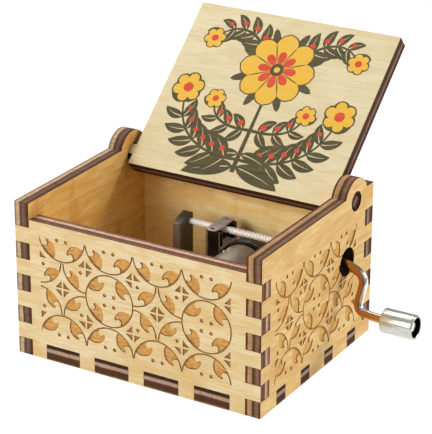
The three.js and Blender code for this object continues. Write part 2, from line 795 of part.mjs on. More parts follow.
// The tune: beats round the drum, each with the track of its note and every third with a chord
function tuneNotes() {
  const notes = [];
  for (let beat = 0; beat < tune.beats; beat += 1) {
    const track = (tune.bend * beat * beat + tune.rise * beat + tune.start) % tune.spread;
    notes.push([beat, track]);
    if (beat % tune.chordEvery === 0) notes.push([beat, track + 1]);
  }
  return notes.filter(([, track]) => track < toothCount);
}

function tunePins() {
  return tuneNotes().map(([beat, track]) => {
    const angle = 2 * Math.PI * beat / tune.beats + tune.turn;
    const along = tracksMiddle + (track - (toothCount - 1) / 2) * toothPitch;
    const pin = new THREE.CylinderGeometry(pinRadius, pinRadius, pinHeight + pinSink, pinSides);
    pin.rotateX(Math.PI / 2).translate(0, 0, cylinderRadius - pinSink + (pinHeight + pinSink) / 2);
    return pin.rotateY(angle).translate(0, along, 0);
  });
}

function alongY(mesh, y) {
  mesh.rotation.x = -Math.PI / 2;
  mesh.position.y = y;
  return mesh;
}

function wheelShape() {
  const step = 2 * Math.PI / wheelTeeth;
  const points = [];
  for (let i = 0; i < wheelTeeth; i += 1) {
    const middle = Math.PI / 2 + (i + 1 / 2) * step;
    const spots = [[-wheelRootShare / 2, wheelRoot], [-wheelTipShare / 2, wheelTip],
      [wheelTipShare / 2, wheelTip], [wheelRootShare / 2, wheelRoot]];
    for (const [share, radius] of spots) {
      const angle = middle + share * step;
      points.push([radius * Math.cos(angle), radius * Math.sin(angle)]);
    }
  }
  const shape = polygon(points);
  roundHole(shape, 0, 0, arborRadius + seatGap);
  return shape;
}

function cylinderGroup() {
  const group = new THREE.Group();
  group.position.set(cylinderX, 0, cylinderZ);
  const inner = cylinderRadius - cylinderWall;
  const tube = ring(inner, cylinderRadius, cylinderFront, cylinderBack).rotateX(-Math.PI / 2);
  const drum = node('music_cylinder', join(tube, ...tunePins()), colour.brightSteel);
  const bore = arborRadius + seatGap;
  const capRing = () => ring(bore, inner - seatGap, 0, capThickness, hiddenSteps);
  const frontCap = alongY(node('cylinder_cap_front', capRing(), colour.greySteel), cylinderFront + capInset);
  const rearCap = alongY(node('cylinder_cap_rear', capRing(), colour.greySteel),
    cylinderBack - capInset - capThickness);
  const arborFront = bearingFrontY - arborOverhang;
  const arborBack = bearingBackY + bearingThickness + arborOverhang;
  const arbor = alongY(node('cylinder_arbor', rod(arborRadius, 0, 0, 0, arborBack - arborFront,
    hiddenSteps), colour.brightSteel), arborFront);
  const clip = alongY(node('arbor_clip', ring(bore, clipRadius, 0, clipWidth, hiddenSteps),
    colour.darkSteel), bearingFrontY - runningGap - clipWidth);
  const flange = alongY(node('wheel_flange', ring(bore, flangeRadius, 0, flangeWidth), colour.black),
    wheelFront - flangeGap - flangeWidth);
  const wheel = node('worm_wheel', slab(wheelShape(), wheelWidth), colour.brass);
  wheel.rotation.x = Math.PI / 2;
  wheel.position.y = wheelBack;
  const sleeveStart = wheelBack + seatGap;
  const sleeve = alongY(node('arbor_sleeve', ring(bore, clipRadius, 0,
    bearingBackY - runningGap - sleeveStart, hiddenSteps), colour.darkSteel), sleeveStart);
  group.add(drum, frontCap, rearCap, arbor, clip, flange, wheel, sleeve);
  return group;
}

// The comb: a steel plate with teeth of falling length, lying on a block and held by two screws
function comb() {
  const outline = [[combLeftX, tracksBack - toothGap / 2], [combLeftX, tracksFront + toothGap / 2]];
  for (let i = 0; i < toothCount; i += 1) {
    const middle = tracksMiddle + (i - (toothCount - 1) / 2) * toothPitch;
    const half = (toothPitch - toothGap) / 2;
    const length = THREE.MathUtils.lerp(longToothLength, shortToothLength, i / (toothCount - 1));
    const root = combTipX - length;
    if (i > 0) outline.push([root, middle - half]);
    outline.push([combTipX, middle - half], [combTipX, middle + half]);
    if (i < toothCount - 1) outline.push([root, middle + half]);
  }
  const shape = polygon(outline);
  const screwX = combLeftX + combScrewInset;
  const screwReach = (tracksBack - tracksFront) * combScrewShare / 2;
  const screwYs = [tracksMiddle - screwReach, tracksMiddle + screwReach];
  for (const y of screwYs) roundHole(shape, screwX, y, combScrew.shank + threadHoleGap);
  const low = cylinderZ - toothThickness / 2;
  const plate = node('comb', slab(shape, toothThickness), colour.brightSteel);
  plate.position.z = low;
  const seatTop = low - seatGap;
  const seatBlock = block(combLeftX, combRootX - combMargin, combFront, combBack, standZ, seatTop);
  const holeFloor = seatTop - combScrew.length - threadHoleGap;
  const holes = screwYs.map((y) =>
    rod(combScrew.shank + threadHoleGap, screwX, y, holeFloor, seatTop + overrun));
  const seat = node('comb_seat', cut(seatBlock, ...holes), colour.zinc);
  const screws = screwYs.map((y, i) => {
    const fastener = node(`comb_screw_${i + 1}`, screw(combScrew), colour.brightSteel);
    fastener.position.set(screwX, y, low + toothThickness + seatGap);
    return fastener;
  });
  return [plate, seat, ...screws];
}

const musicBox = new THREE.Group();
musicBox.add(bottomPanel(), ...frontAndBack(), ...sidePanels(), lid());
musicBox.add(...bed(), ...smallScrews(), leftBracket(), rightBracket(), ...arborBearings());
musicBox.add(...bridge(), shaftGroup(), crank(), cylinderGroup(), ...comb());

export default musicBox;
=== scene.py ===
# Hand-cranked wooden music box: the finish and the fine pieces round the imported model.
# Lengths in the dictionaries are millimetres; meshes are in metres, in the model's own frame.
import math

import bmesh
import bpy
import numpy as np
from mathutils import Matrix, Vector
from mathutils.geometry import delaunay_2d_cdt


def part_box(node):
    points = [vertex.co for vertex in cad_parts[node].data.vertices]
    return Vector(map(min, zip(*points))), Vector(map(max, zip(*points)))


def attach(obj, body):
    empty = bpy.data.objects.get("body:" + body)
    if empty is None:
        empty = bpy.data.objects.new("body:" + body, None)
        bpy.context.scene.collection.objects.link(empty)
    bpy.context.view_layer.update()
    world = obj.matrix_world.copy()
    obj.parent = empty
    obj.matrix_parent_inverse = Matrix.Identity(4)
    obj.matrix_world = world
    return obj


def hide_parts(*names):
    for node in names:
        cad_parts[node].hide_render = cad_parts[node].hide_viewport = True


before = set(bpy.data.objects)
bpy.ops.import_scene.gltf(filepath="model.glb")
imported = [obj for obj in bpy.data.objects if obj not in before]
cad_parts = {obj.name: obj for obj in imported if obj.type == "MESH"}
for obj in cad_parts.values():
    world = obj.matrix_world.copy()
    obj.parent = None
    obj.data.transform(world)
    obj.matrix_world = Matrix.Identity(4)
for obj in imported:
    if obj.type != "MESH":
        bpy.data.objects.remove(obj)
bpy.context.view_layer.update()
scene = bpy.context.scene
mm = 0.001
quarter = math.pi / 2
alongX, alongY = 0, 1
nearby = {"merge": 0.001, "onFace": 0.01, "onAxis": 0.0001}  # spots nearer than this count as one place


def linear(hexColour):
    channels = [int(hexColour[i:i + 2], 16) / 255 for i in (1, 3, 5)]
    straight = [c / 12.92 if c <= 0.04045 else ((c + 0.055) / 1.055) ** 2.4 for c in channels]
    return (*straight, 1)


def addNode(tree, kind, inputs=None, stops=(), out=0, **settings):  # gives the new node's output back
    node = tree.nodes.new(kind)
    for key, value in settings.items():
        setattr(node, key, value)
    for key, value in (inputs or {}).items():
        for source in value if isinstance(value, list) else [value]:
            if isinstance(source, bpy.types.NodeSocket):
                tree.links.new(source, node.inputs[key])
            else:
                node.inputs[key].default_value = source
    stops = list(stops)
    if stops:  # a colour ramp's (place, hex colour) pairs
        points = node.color_ramp.elements
        while len(points) < len(stops):
            points.new(1)
        for point, (place, hexColour) in zip(points, stops):
            point.position = place
            point.color = linear(hexColour)
    return node.outputs[out] if node.outputs else node


def startMaterial(name, finish):
    material = bpy.data.materials.new(name)
    material.use_nodes = True
    tree = material.node_tree
    shader = tree.nodes["Principled BSDF"]
    for socket, value in finish.items():
        shader.inputs[socket].default_value = value
    return material, tree, shader


def dress(tree, shader, tone, height=None, share=0, depth=0):  # its colour, and bumps of a share of a depth
    tree.links.new(tone, shader.inputs["Base Color"])
    if height is not None:
        bump = addNode(tree, "ShaderNodeBump", {"Height": height, "Strength": share, "Distance": depth * mm})
        tree.links.new(bump, shader.inputs["Normal"])


def perMetre(sizes):  # feature sizes in millimetres, turned into the scale of a Mapping node
    return tuple(1 / (size * mm) for size in sizes)


def grainyNoise(tree, sizes, detail, waviness=0):  # noise over the piece, with features of these sizes
    place = addNode(tree, "ShaderNodeTexCoord", out="Object")
    moved = addNode(tree, "ShaderNodeMapping", {"Vector": place, "Scale": perMetre(sizes)})
    settings = {"Vector": moved, "Scale": 1, "Detail": detail, "Distortion": waviness}
    return addNode(tree, "ShaderNodeTexNoise", settings)


# The photograph's view, as the box's corners fit it
shot = {
    "azimuth": 30.5673,
    "elevation": 22.8597,
    "roll": 0.2085,
    "distance": 476.6008,
    "target": (5.2964, 0, 32.5117),
    "lens": 174.165,
    "sensorHeight": 36,
}


def addCamera():
    turn, tilt, roll = (math.radians(shot[key]) for key in ("azimuth", "elevation", "roll"))
    back = Vector((math.sin(turn) * math.cos(tilt), -math.cos(turn) * math.cos(tilt), math.sin(tilt)))
    right = Vector((math.cos(turn), math.sin(turn), 0))
    up = back.cross(right)
    rolledRight = right * math.cos(roll) + up * math.sin(roll)
    rolledUp = up * math.cos(roll) - right * math.sin(roll)
    data = bpy.data.cameras.new("camera")
    data.sensor_fit = "VERTICAL"
    data.sensor_height = shot["sensorHeight"]
    data.lens = shot["lens"]
    camera = bpy.data.objects.new("camera", data)
    axes = Matrix((rolledRight, rolledUp, back)).transposed().to_4x4()
    place = (Vector(shot["target"]) + back * shot["distance"]) * mm
    camera.matrix_world = Matrix.Translation(place) @ axes
    scene.collection.objects.link(camera)
    scene.camera = camera


addCamera()
print("camera placed")


woodFinishes = {  # sanded wood has a faint sheen, burnt wood hardly any
    "sanded": {"Roughness": 0.62, "IOR": 1.46, "Specular IOR Level": 0.35},
    "charred": {"Roughness": 0.8, "IOR": 1.46, "Specular IOR Level": 0.2},
    "scorched": {"Roughness": 0.78, "IOR": 1.46, "Specular IOR Level": 0.2},
    "inked": {"Roughness": 0.55, "IOR": 1.5, "Specular IOR Level": 0.3},
}
# Birch plywood: sanded veneer with fine straight grain, so the eye sees soft streaks and short pores.
# Ranges hold the from and to values of a Map Range node, by input
grain = {
    "streakLength": 5.5,
    "streakWidth": 0.5,
    "figureLength": 13,
    "figureWidth": 3,
    "poreLength": 2.6,
    "poreWidth": 0.16,
    "blotchSize": 11,
    "waviness": 0.7,
    "detail": 3,
    "streakRamp": (0.4, 0.6),
    "poreRange": {1: 0.62, 2: 0.74, 3: 0, 4: 0.55},
    "stainRange": {1: 0.5, 2: 0.72, 3: 0},
    "bumpDepth": 0.05,
    "bumpShare": 0.35,
}
veneerTones = {  # ground, streaks, pores, stains, and how strongly the stains show
    "paleBirchVeneer": ("#dcc79e", "#cfb178", "#b28a52", "#cda15c", 0.6),
    "warmBirchVeneer": ("#e9c888", "#d8a962", "#b07f43", "#cf9a50", 0.45),
    "creamBirchVeneer": ("#dccea8", "#d3c196", "#bfa474", "#c9b17e", 0.35),
    # Inner faces: random stains, in a warmer, more saturated tone that is painted bounce light from the wood
    # around
    "stainedBirchPaintedBounce": ("#f8d084", "#ebb356", "#a96a24", "#c67a26", 0.65),
    # The back panel's inner face: a lighter tone that is painted light, where the front lamp falls on it
    "birchPaintedFrontLight": ("#fce6a8", "#f4d084", "#b8823a", "#d89a44", 0.5),
}


def stretched(along, length, width):
    sizes = [width, width, width]
    sizes[along] = length
    return sizes


def veneer(name, tones, along):
    ground, streak, pore, stain, stainShare = tones
    material, tree, shader = startMaterial(name, woodFinishes["sanded"])
    sizes = {part: stretched(along, grain[part + "Length"], grain[part + "Width"])
             for part in ("streak", "figure", "pore")}
    sizes["blotch"] = [grain["blotchSize"]] * 3
    noise = {part: grainyNoise(tree, size, grain["detail"], grain["waviness"])
             for part, size in sizes.items()}
    both = addNode(tree, "ShaderNodeMath", {0: noise["streak"], 1: noise["figure"]}, operation="ADD")
    mean = addNode(tree, "ShaderNodeMath", {0: both, 1: 0.5}, operation="MULTIPLY")
    base = addNode(tree, "ShaderNodeValToRGB", {0: mean}, zip(grain["streakRamp"], (streak, ground)))
    pores = addNode(tree, "ShaderNodeMapRange", {0: noise["pore"], **grain["poreRange"]})
    pored = addNode(tree, "ShaderNodeMix", {0: pores, 6: base, 7: linear(pore)}, out=2, data_type="RGBA")
    stains = addNode(tree, "ShaderNodeMapRange", {0: noise["blotch"], **grain["stainRange"], 4: stainShare})
    stained = addNode(tree, "ShaderNodeMix", {0: stains, 6: pored, 7: linear(stain)}, out=2, data_type="RGBA")
    dress(tree, shader, stained, noise["streak"], grain["bumpShare"], grain["bumpDepth"])
    return material


# Laser-cut edges: charred plies, dark glue lines and a paler core, which the beam's path streaks finely.
# The bands are (depth in the sheet, colour) pairs
edgeChar = {
    "waveSize": 4,
    "wander": 0.12,
    "streakWidth": 0.4,
    "streakLength": 2.6,
    "waveDetail": 4,
    "streakDetail": 2,
    "shadeRange": {1: 0.3, 2: 0.7, 3: 0.75, 4: 1.2},
    "bumpDepth": 0.08,
    "bumpShare": 0.4,
}
edgeBands = {
    "front_panel": [
        (0, "#4a2c1a"), (0.3, "#6f4e3a"), (0.7, "#7c5946"), (1.0, "#573424"), (1.4, "#73503c"),
        (1.8, "#5f3c2a"), (2.05, "#c9a28b"), (2.6, "#cfa993"), (2.85, "#7b5440"), (3.2, "#a1765d"),
        (3.45, "#6d4a34"), (3.8, "#4a2c1c")],
    "back_panel": [
        (0, "#4a2c1b"), (1.4, "#54382a"), (1.9, "#8d6a52"), (2.5, "#a88468"), (3.0, "#4e3324"),
        (3.8, "#3f281a")],
    "right_panel": [
        (0, "#3f220e"), (0.3, "#4e2c15"), (0.5, "#6f4f3c"), (0.95, "#80604a"), (1.4, "#6a4a36"),
        (1.8, "#442b17"), (2.1, "#5c3f26"), (2.3, "#a27b52"), (3.15, "#b08762"), (3.35, "#6a3d1c"),
        (3.8, "#43210c")],
    "left_panel": [
        (0, "#6d5a4a"), (0.3, "#86705a"), (0.5, "#b3956e"), (1.25, "#bf9e7a"), (1.5, "#4a3420"),
        (1.8, "#5a4032"), (2.4, "#705646"), (3.0, "#5f4436"), (3.3, "#4a2c18"), (3.8, "#4a2c18")],
    "bottom_panel": [
        (0, "#94714d"), (0.5, "#4a2a14"), (1.8, "#50301c"), (2.1, "#a88874"), (2.7, "#ab8c78"),
        (3.0, "#3a2212"), (3.8, "#2f1b10")],
    "lid": [
        (0, "#6a4a34"), (0.5, "#43291c"), (1.7, "#4a2f22"), (2.2, "#94715a"), (2.8, "#4a2f22"),
        (3.8, "#3d2719")],
}


def charredEdge(name, board, bands):
    char = edgeChar
    material, tree, shader = startMaterial(name, woodFinishes["charred"])
    place = addNode(tree, "ShaderNodeTexCoord", out="Object")
    inward = -board["outward"]
    depth = addNode(tree, "ShaderNodeVectorMath", {0: place, 1: inward}, out="Value", operation="DOT_PRODUCT")
    start = board["origin"].dot(inward) * mm
    share = addNode(tree, "ShaderNodeMapRange", {0: depth, 1: start, 2: start + board["thickness"] * mm})
    wave = grainyNoise(tree, [char["waveSize"]] * 3, char["waveDetail"])
    bend = {0: wave, 1: char["wander"], 2: -char["wander"] / 2}
    wander = addNode(tree, "ShaderNodeMath", bend, operation="MULTIPLY_ADD")
    moved = addNode(tree, "ShaderNodeMath", {0: share, 1: wander}, operation="ADD")
    stops = [(min(d / board["thickness"], 1), colour) for d, colour in bands]
    plies = addNode(tree, "ShaderNodeValToRGB", {0: moved}, stops)
    streaks = [char["streakWidth"] + char["streakLength"] * abs(a) for a in inward]
    marks = grainyNoise(tree, streaks, char["streakDetail"])
    shade = addNode(tree, "ShaderNodeMapRange", {0: marks, **char["shadeRange"]})
    mixed = {0: 1.0, 6: plies, 7: shade}
    charred = addNode(tree, "ShaderNodeMix", mixed, out=2, data_type="RGBA", blend_type="MULTIPLY")
    dress(tree, shader, charred, marks, char["bumpShare"], char["bumpDepth"])
    return material


# Laser-engraved wood: the beam leaves a toasted, slightly uneven floor, light and dark tone each
scorchTones = {
    "scorchedLine": ("#a57a46", "#86602e"),
    "toastedFloor": ("#cf9d57", "#b37c3c"),
    "scorchedLinePale": ("#c08d4e", "#a2713a"),
    "toastedFloorPale": ("#dcac62", "#cd9b52"),
    # The crank bore's wall: charred, and near black with painted shade inside the hole
    "boreCharPaintedShade": ("#28180c", "#0d0604"),
}
scorchMarks = {
    "size": (1.5, 1.5, 0.5),
    "detail": 4,
    "ramp": (0.35, 0.65),
    "bumpDepth": 0.05,
    "bumpShare": 0.4,
}


def scorched(name):
    light, dark = scorchTones[name]
    material, tree, shader = startMaterial(name, woodFinishes["scorched"])
    noise = grainyNoise(tree, scorchMarks["size"], scorchMarks["detail"])
    tone = addNode(tree, "ShaderNodeValToRGB", {0: noise}, zip(scorchMarks["ramp"], (dark, light)))
    dress(tree, shader, tone, noise, scorchMarks["bumpShare"], scorchMarks["bumpDepth"])
    return material


# Screen ink on bare wood: matt, and a little of the grain shows through it where it is thin
inkTones = {
    "oliveInk": ("#453e1f", "#5e552f"),
    "amberInk": ("#e2ae2c", "#ddb552"),
    "redInk": ("#cf3b1f", "#cc5a36"),
}
inkRamp = {"places": (0.4, 0.75), "detail": 4}


def printInk(name):
    material, tree, shader = startMaterial(name, woodFinishes["inked"])
    sizes = stretched(alongX, grain["streakLength"], grain["streakWidth"])
    noise = grainyNoise(tree, sizes, inkRamp["detail"])
    tone = addNode(tree, "ShaderNodeValToRGB", {0: noise}, zip(inkRamp["places"], inkTones[name]))
    dress(tree, shader, tone)
    return material


# The boards: each is rebuilt from the outline of its own CAD node, with its marks cut in
lidSize = {"lean": 41.5, "hinge": (0, 17.5, 35.9)}
boardAxes = {  # the ways out of the outer face, across it and up it
    "front_panel": ((0, -1, 0), (1, 0, 0), (0, 0, 1)),
    "back_panel": ((0, 1, 0), (-1, 0, 0), (0, 0, 1)),
    "right_panel": ((1, 0, 0), (0, 1, 0), (0, 0, 1)),
    "left_panel": ((-1, 0, 0), (0, -1, 0), (0, 0, 1)),
    "bottom_panel": ((0, 0, -1), (1, 0, 0), (0, -1, 0)),
}
outlineGrid = 1000  # outline corners are matched to a thousandth of a millimetre


def boardPlaces():
    boards = {}
    for name, axes in boardAxes.items():
        outward, across, up = (Vector(axis) for axis in axes)
        low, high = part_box(name)
        faces = [corner.dot(outward) / mm for corner in (low, high)]
        boards[name] = {"origin": outward * max(faces), "outward": outward, "across": across, "up": up,
                        "thickness": max(faces) - min(faces)}
    thickness = boards["front_panel"]["thickness"]
    lean = math.radians(lidSize["lean"])
    up = Vector((0, math.cos(lean), math.sin(lean)))
    outward = Vector((0, -math.sin(lean), math.cos(lean)))
    boards["lid"] = {"origin": Vector(lidSize["hinge"]) + outward * thickness / 2, "outward": outward,
                     "across": Vector((1, 0, 0)), "up": up, "thickness": thickness}
    return boards


def onBoard(board, u, v, depth):
    return (board["origin"] + board["across"] * u + board["up"] * v - board["outward"] * depth) * mm


def area(loop):
    return sum(a[0] * b[1] - b[0] * a[1] for a, b in zip(loop, loop[1:] + loop[:1])) / 2


def outlineLoops(name, board):  # loops of the CAD node's inner face, anticlockwise seen from outside
    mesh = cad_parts[name].data
    after = {}
    for polygon in mesh.polygons:
        spots = [mesh.vertices[i].co / mm - board["origin"] for i in polygon.vertices]
        if any(abs(s.dot(board["outward"]) + board["thickness"]) > nearby["onFace"] for s in spots):
            continue
        flat = [(s.dot(board["across"]), s.dot(board["up"])) for s in spots]
        keys = [(round(u * outlineGrid), round(v * outlineGrid)) for u, v in flat]
        for a, b in zip(keys, keys[1:] + keys[:1]):
            after[b, a] = True
    following = {a: b for a, b in after if (b, a) not in after}
    loops = []
    while following:
        start, here = following.popitem()
        loop = [start]
        while here != start:
            loop.append(here)
            here = following.pop(here)
        loops.append([(u / outlineGrid, v / outlineGrid) for u, v in loop])
    return sorted(loops, key=lambda loop: -abs(area(loop)))


def within(outline, spots):  # which spots lie inside the outline, by counting crossings
    a = np.array(outline, float)
    b = np.roll(a, -1, axis=0)
    x, y = spots[:, :1], spots[:, 1:]
    crosses = (a[:, 1] > y) != (b[:, 1] > y)
    rise = np.where(a[:, 1] == b[:, 1], 1, b[:, 1] - a[:, 1])
    return (crosses & (x < a[:, 0] + (y - a[:, 1]) * (b[:, 0] - a[:, 0]) / rise)).sum(axis=1) % 2 == 1


def addPiece(name, mesh):
    piece = bpy.data.objects.new(name, mesh)
    scene.collection.objects.link(piece)
    return piece


innerLook, edgeLook = 1, 2  # places of a board's materials, after its outer face's


def reliefBoard(name, board, marks, window, relief, materials):
    # marks are (outline, look) pairs, later ones over earlier; look is a material's place
    loops = outlineLoops(name, board)
    points, edges = [], []
    for outline in loops + [outline for outline, look in marks] + ([window] if window else []):
        first, count = len(points), len(outline)
        points.extend(Vector(p) for p in outline)
        edges.extend((first + i, first + (i + 1) % count) for i in range(count))
    corners, _, faces, _, _, _ = delaunay_2d_cdt(points, edges, [], 0, nearby["onAxis"])
    flatCorners = np.array([tuple(c) for c in corners])
    middles = flatCorners[np.array(faces)].mean(axis=1)
    solid = sum(within(loop, middles).astype(int) for loop in loops) == 1
    allowed = within(window, middles) if window else solid
    painted = np.zeros(len(faces), int)
    for outline, look in marks:
        reach = np.array(outline, float)
        near = np.all((middles > reach.min(axis=0)) & (middles < reach.max(axis=0)), axis=1)
        chosen = np.flatnonzero(near & allowed)
        painted[chosen[within(outline, middles[chosen])]] = look
    build = bmesh.new()
    made = {}

    def corner(i, depth):
        if (i, depth) not in made:
            made[i, depth] = build.verts.new(onBoard(board, corners[i].x, corners[i].y, depth))
        return made[i, depth]

    sides = {}
    for number in np.flatnonzero(solid):
        face, look = faces[number], int(painted[number])
        depth = relief if look else 0
        build.faces.new([corner(i, depth) for i in face]).material_index = look
        build.faces.new([corner(i, board["thickness"]) for i in reversed(face)]).material_index = innerLook
        for a, b in zip(face, face[1:] + face[:1]):
            sides[a, b] = (depth, look)
    for (a, b), (depth, look) in sides.items():
        beyond, wallLook = sides.get((b, a), (board["thickness"], edgeLook))
        if beyond > depth:
            wall = [corner(a, depth), corner(a, beyond), corner(b, beyond), corner(b, depth)]
            build.faces.new(wall).material_index = wallLook or look
    mesh = bpy.data.meshes.new(name + "_wood")
    build.to_mesh(mesh)
    build.free()
    for material in materials:
        mesh.materials.append(material)
    return addPiece(name + "_wood", mesh)


def finish(piece, body, slot, *replaced):
    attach(piece, body)
    if replaced:
        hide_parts(*replaced)
    return piece


# Trellis ornament: circles, leaves, dots and crossed diamonds, all laser cut
trellis = {
    "circleRadius": 6.22,
    "innerRadius": 5.98,
    "lineWidth": 0.34,
    "leafTail": 69,
    "leafBite": 29,
    "leafInner": [(1.78, 4.9), (1.72, 3.7), (2.05, 2.5), (2.95, 1.68), (3.75, 1.32), (4.22, 1.42),
                  (4.2, 1.78), (3.92, 2.15), (4.0, 2.7), (4.5, 2.98), (5.0, 2.96)],
    "leafOutline": 0.16,
    "dotRadius": 0.46,
    "dotCentre": 0.2,
    "dotPlace": (1.25, 1.2),
    "diamondHalves": (2.3, 2.08),
    "crossHalf": 0.24,
    "triangleOutline": 0.17,
    "arcEnds": (0, 90),
    "depth": 0.22,
    "keptInset": 0.93,
}
looks = {"bare": 0, "line": 3, "floor": 4}
trellisSteps = {"circle": 80, "leafRim": 12, "dot": 16, "dotCentre": 10}
quarterWays = ((1, 1), (-1, 1), (-1, -1), (1, -1))  # right and up, after each quarter turn
panelPatterns = {  # middles of the cells, their pitch, and the window that the ornament stays in
    "long": {"columns": [-19.4, -6.85, 5.75, 18.35], "rows": [5.9, 18.8, 31.75], "pitch": 12.6,
             "window": (-25.4, 25.1, 6.3, 31.1)},
    "short": {"columns": [-13.6, -0.95, 11.7], "rows": [5.3, 18.1, 30.95], "pitch": 12.62,
              "window": (-19.9, 18.3, 5.5, 30.3)},
}


def arcPoints(x, y, radius, start, end, steps):  # degrees, both ends kept
    angles = [math.radians(start + (end - start) * i / steps) for i in range(steps + 1)]
    return [(x + radius * math.cos(a), y + radius * math.sin(a)) for a in angles]


def disc(x, y, radius, steps):
    return arcPoints(x, y, radius, 0, 360, steps)[:-1]


def band(x, y, radius, width, start, end, steps=20):
    outer = arcPoints(x, y, radius + width / 2, start, end, steps)
    return outer + arcPoints(x, y, radius - width / 2, end, start, steps)


def smoothPath(points, steps=5):  # an even curve through the points
    ends = [points[0]] + list(points) + [points[-1]]
    path = []
    for a, b, c, d in zip(ends, ends[1:], ends[2:], ends[3:]):
        for i in range(steps):
            t = i / steps
            path.append(tuple(
                0.5 * (2 * q + (r - p) * t + (2 * p - 5 * q + 4 * r - s) * t ** 2
                       + (3 * q - p - 3 * r + s) * t ** 3)
                for p, q, r, s in zip(a, b, c, d)))
    return path + [tuple(points[-1])]


def inset(outline, distance):  # the outline moved inwards; it runs anticlockwise
    moved = []
    a = np.array(outline, float)
    b = np.roll(a, -1, axis=0)
    along = (b - a) / np.linalg.norm(b - a, axis=1)[:, None]
    for before, here, after in zip(np.roll(along, 1, axis=0), a, along):
        normal = np.array((-before[1] - after[1], before[0] + after[0]))
        spot = here + normal * distance * 2 / max(normal @ normal, 1)
        share = np.clip(((spot - a) * (b - a)).sum(axis=1) / ((b - a) ** 2).sum(axis=1), 0, 1)
        gap = np.linalg.norm(a + (b - a) * share[:, None] - spot, axis=1).min()
        if gap > distance * trellis["keptInset"]:
            moved.append(tuple(spot))
    return moved


def turnedShape(outline, turns, x, y):  # quarter turns anticlockwise, then moved
    turn = Matrix.Rotation(turns * quarter, 2)
    return [tuple(turn @ Vector(p) + Vector((x, y))) for p in outline]


def leafShape():
    radius = trellis["circleRadius"] - trellis["lineWidth"] / 2
    rim = arcPoints(0, 0, radius, trellis["leafBite"], trellis["leafTail"], trellisSteps["leafRim"])
    return rim[:-1] + smoothPath([rim[-1]] + trellis["leafInner"] + [rim[0]])[:-1]


def triangleShape():
    wide, high = trellis["diamondHalves"]
    start = trellis["crossHalf"]
    return [(start, start), (wide * (1 - start / high), start), (start, high * (1 - start / wide))]


def trellisMarks(columns, rows, pitch):  # every second cell of the middle row is a star
    leaf, triangle = leafShape(), triangleShape()
    arc = band(0, 0, trellis["innerRadius"], trellis["lineWidth"], *trellis["arcEnds"])
    parts = {
        "leaf": [(leaf, "line"), (inset(leaf, trellis["leafOutline"]), "floor")],
        "triangle": [(triangle, "line"), (inset(triangle, trellis["triangleOutline"]), "floor")],
        "dot": [(disc(*trellis["dotPlace"], trellis["dotRadius"], trellisSteps["dot"]), "line"),
                (disc(*trellis["dotPlace"], trellis["dotCentre"], trellisSteps["dotCentre"]), "floor")],
        "arc": [(arc, "line")],
    }
    marks = []

    def put(names, x, y, turns=range(len(quarterWays))):
        for turn in turns:
            for outline, look in [shape for name in names for shape in parts[name]]:
                marks.append((turnedShape(outline, turn, x, y), looks[look]))

    low, middle, high = rows
    stars = [(x, middle) for x in columns[::2]]
    circles = [(x, middle) for x in columns[1::2]] + [(x, y) for x in columns for y in (low, high)]
    reach, half = trellis["circleRadius"], trellis["lineWidth"] / 2
    for x, y in circles:
        for radius, look in ((reach + half, "line"), (reach - half, "bare")):
            marks.append((disc(x, y, radius, trellisSteps["circle"]), looks[look]))
    for x, y in circles:
        put(("leaf", "dot"), x, y)
    for x, y in stars:
        put(("triangle",), x, y)
    between = [x - pitch / 2 for x in columns] + [columns[-1] + pitch / 2]
    for x, y in [(x, y) for x in between for y in ((low + middle) / 2, (middle + high) / 2)]:
        for turn, (right, up) in enumerate(quarterWays):
            towards = (x + pitch / 2 * right, y + pitch / 2 * up)
            if any(abs(towards[0] - column) < pitch / 4 for column in columns):
                byStar = any(math.dist(towards, star) < pitch / 4 for star in stars)
                put(("arc", "leaf", "dot") if byStar else ("triangle",), x, y, [turn])
    return marks


def mirrored(marks):
    return [([(-u, v) for u, v in outline], look) for outline, look in marks]


def patternOf(kind):
    pattern = panelPatterns[kind]
    left, right, low, high = pattern["window"]
    window = [(left, low), (right, low), (right, high), (left, high)]
    return trellisMarks(pattern["columns"], pattern["rows"], pattern["pitch"]), window


# Lid print: a generic folk flower spray in screen ink, drawn from curves
inks = {"olive": 3, "amber": 4, "red": 5}
spray = {
    "inkRise": 0.02,
    "stem": {"path": [(0, -0.5), (0, 8), (0, 15), (0, 22)], "width": 1.1},
    "branches": [
        {"path": [(0, 3), (8, 2), (20, 5), (20.5, 19)],
         "leaves": 7, "leafLength": 7.4, "leafWidth": 3.4, "blossom": 3.9},
        {"path": [(0, 11), (5, 10.5), (11.5, 11), (12.2, 17.5)],
         "leaves": 4, "leafLength": 5.2, "leafWidth": 2.5, "blossom": 2.5},
        {"path": [(5, 32), (9, 37.5), (15, 39.5), (19.5, 33.5)],
         "leaves": 5, "leafLength": 5.8, "leafWidth": 2.7, "blossom": 2.7},
    ],
    "branchWidth": 0.75,
    "taper": (1.15, 0.6),
    "leafPlaces": (0.14, 0.76),
    "leafShrink": 0.35,
    "leafSplay": 0.82,
    "headingAhead": 0.02,
    "berryRadius": 0.75,
    "berryAhead": 0.055,
    "berryAside": 0.62,
    "berrySteps": 12,
}
leafForm = {
    "spine": ((0, 0), (0.3, 0.5), (0.7, 0.6), (1, -0.3)),  # share of the length, and lift to the side
    "fullness": (0.85, 0.8),
    "tipWidth": 0.02,
    "veinWidth": 0.34,
    "veinEnds": (0.12, 0.8),
    "hairWidth": 0.01,
    "base": {"angle": 196, "length": 13, "width": 4.6, "starts": (((-0.4, 1), 1), ((-0.4, 4.5), 0.62))},
}
blossomForm = {  # start, length and width of its petals, in radii
    "petals": 6,
    "rim": (0, 1.12, 0.95),
    "petal": (0.1, 0.93, 0.7),
    "heart": 0.34,
    "heartSteps": 16,
}
flowerForm = {  # petals are (start, length, width) rings
    "at": (0, 28),
    "petals": 8,
    "sepal": (1.2, 10.6, 2.2),
    "petal": (1.2, 8.6, 5.6),
    "inner": (1.2, 3.9, 2.1),
    "rim": 0.3,
    "lineShare": 0.72,
    "heart": (1.7, 28),
    "eye": (0.8, 16),
}
petalForm = {"fullness": 1.5, "leastSine": 0.0004, "steps": 14}


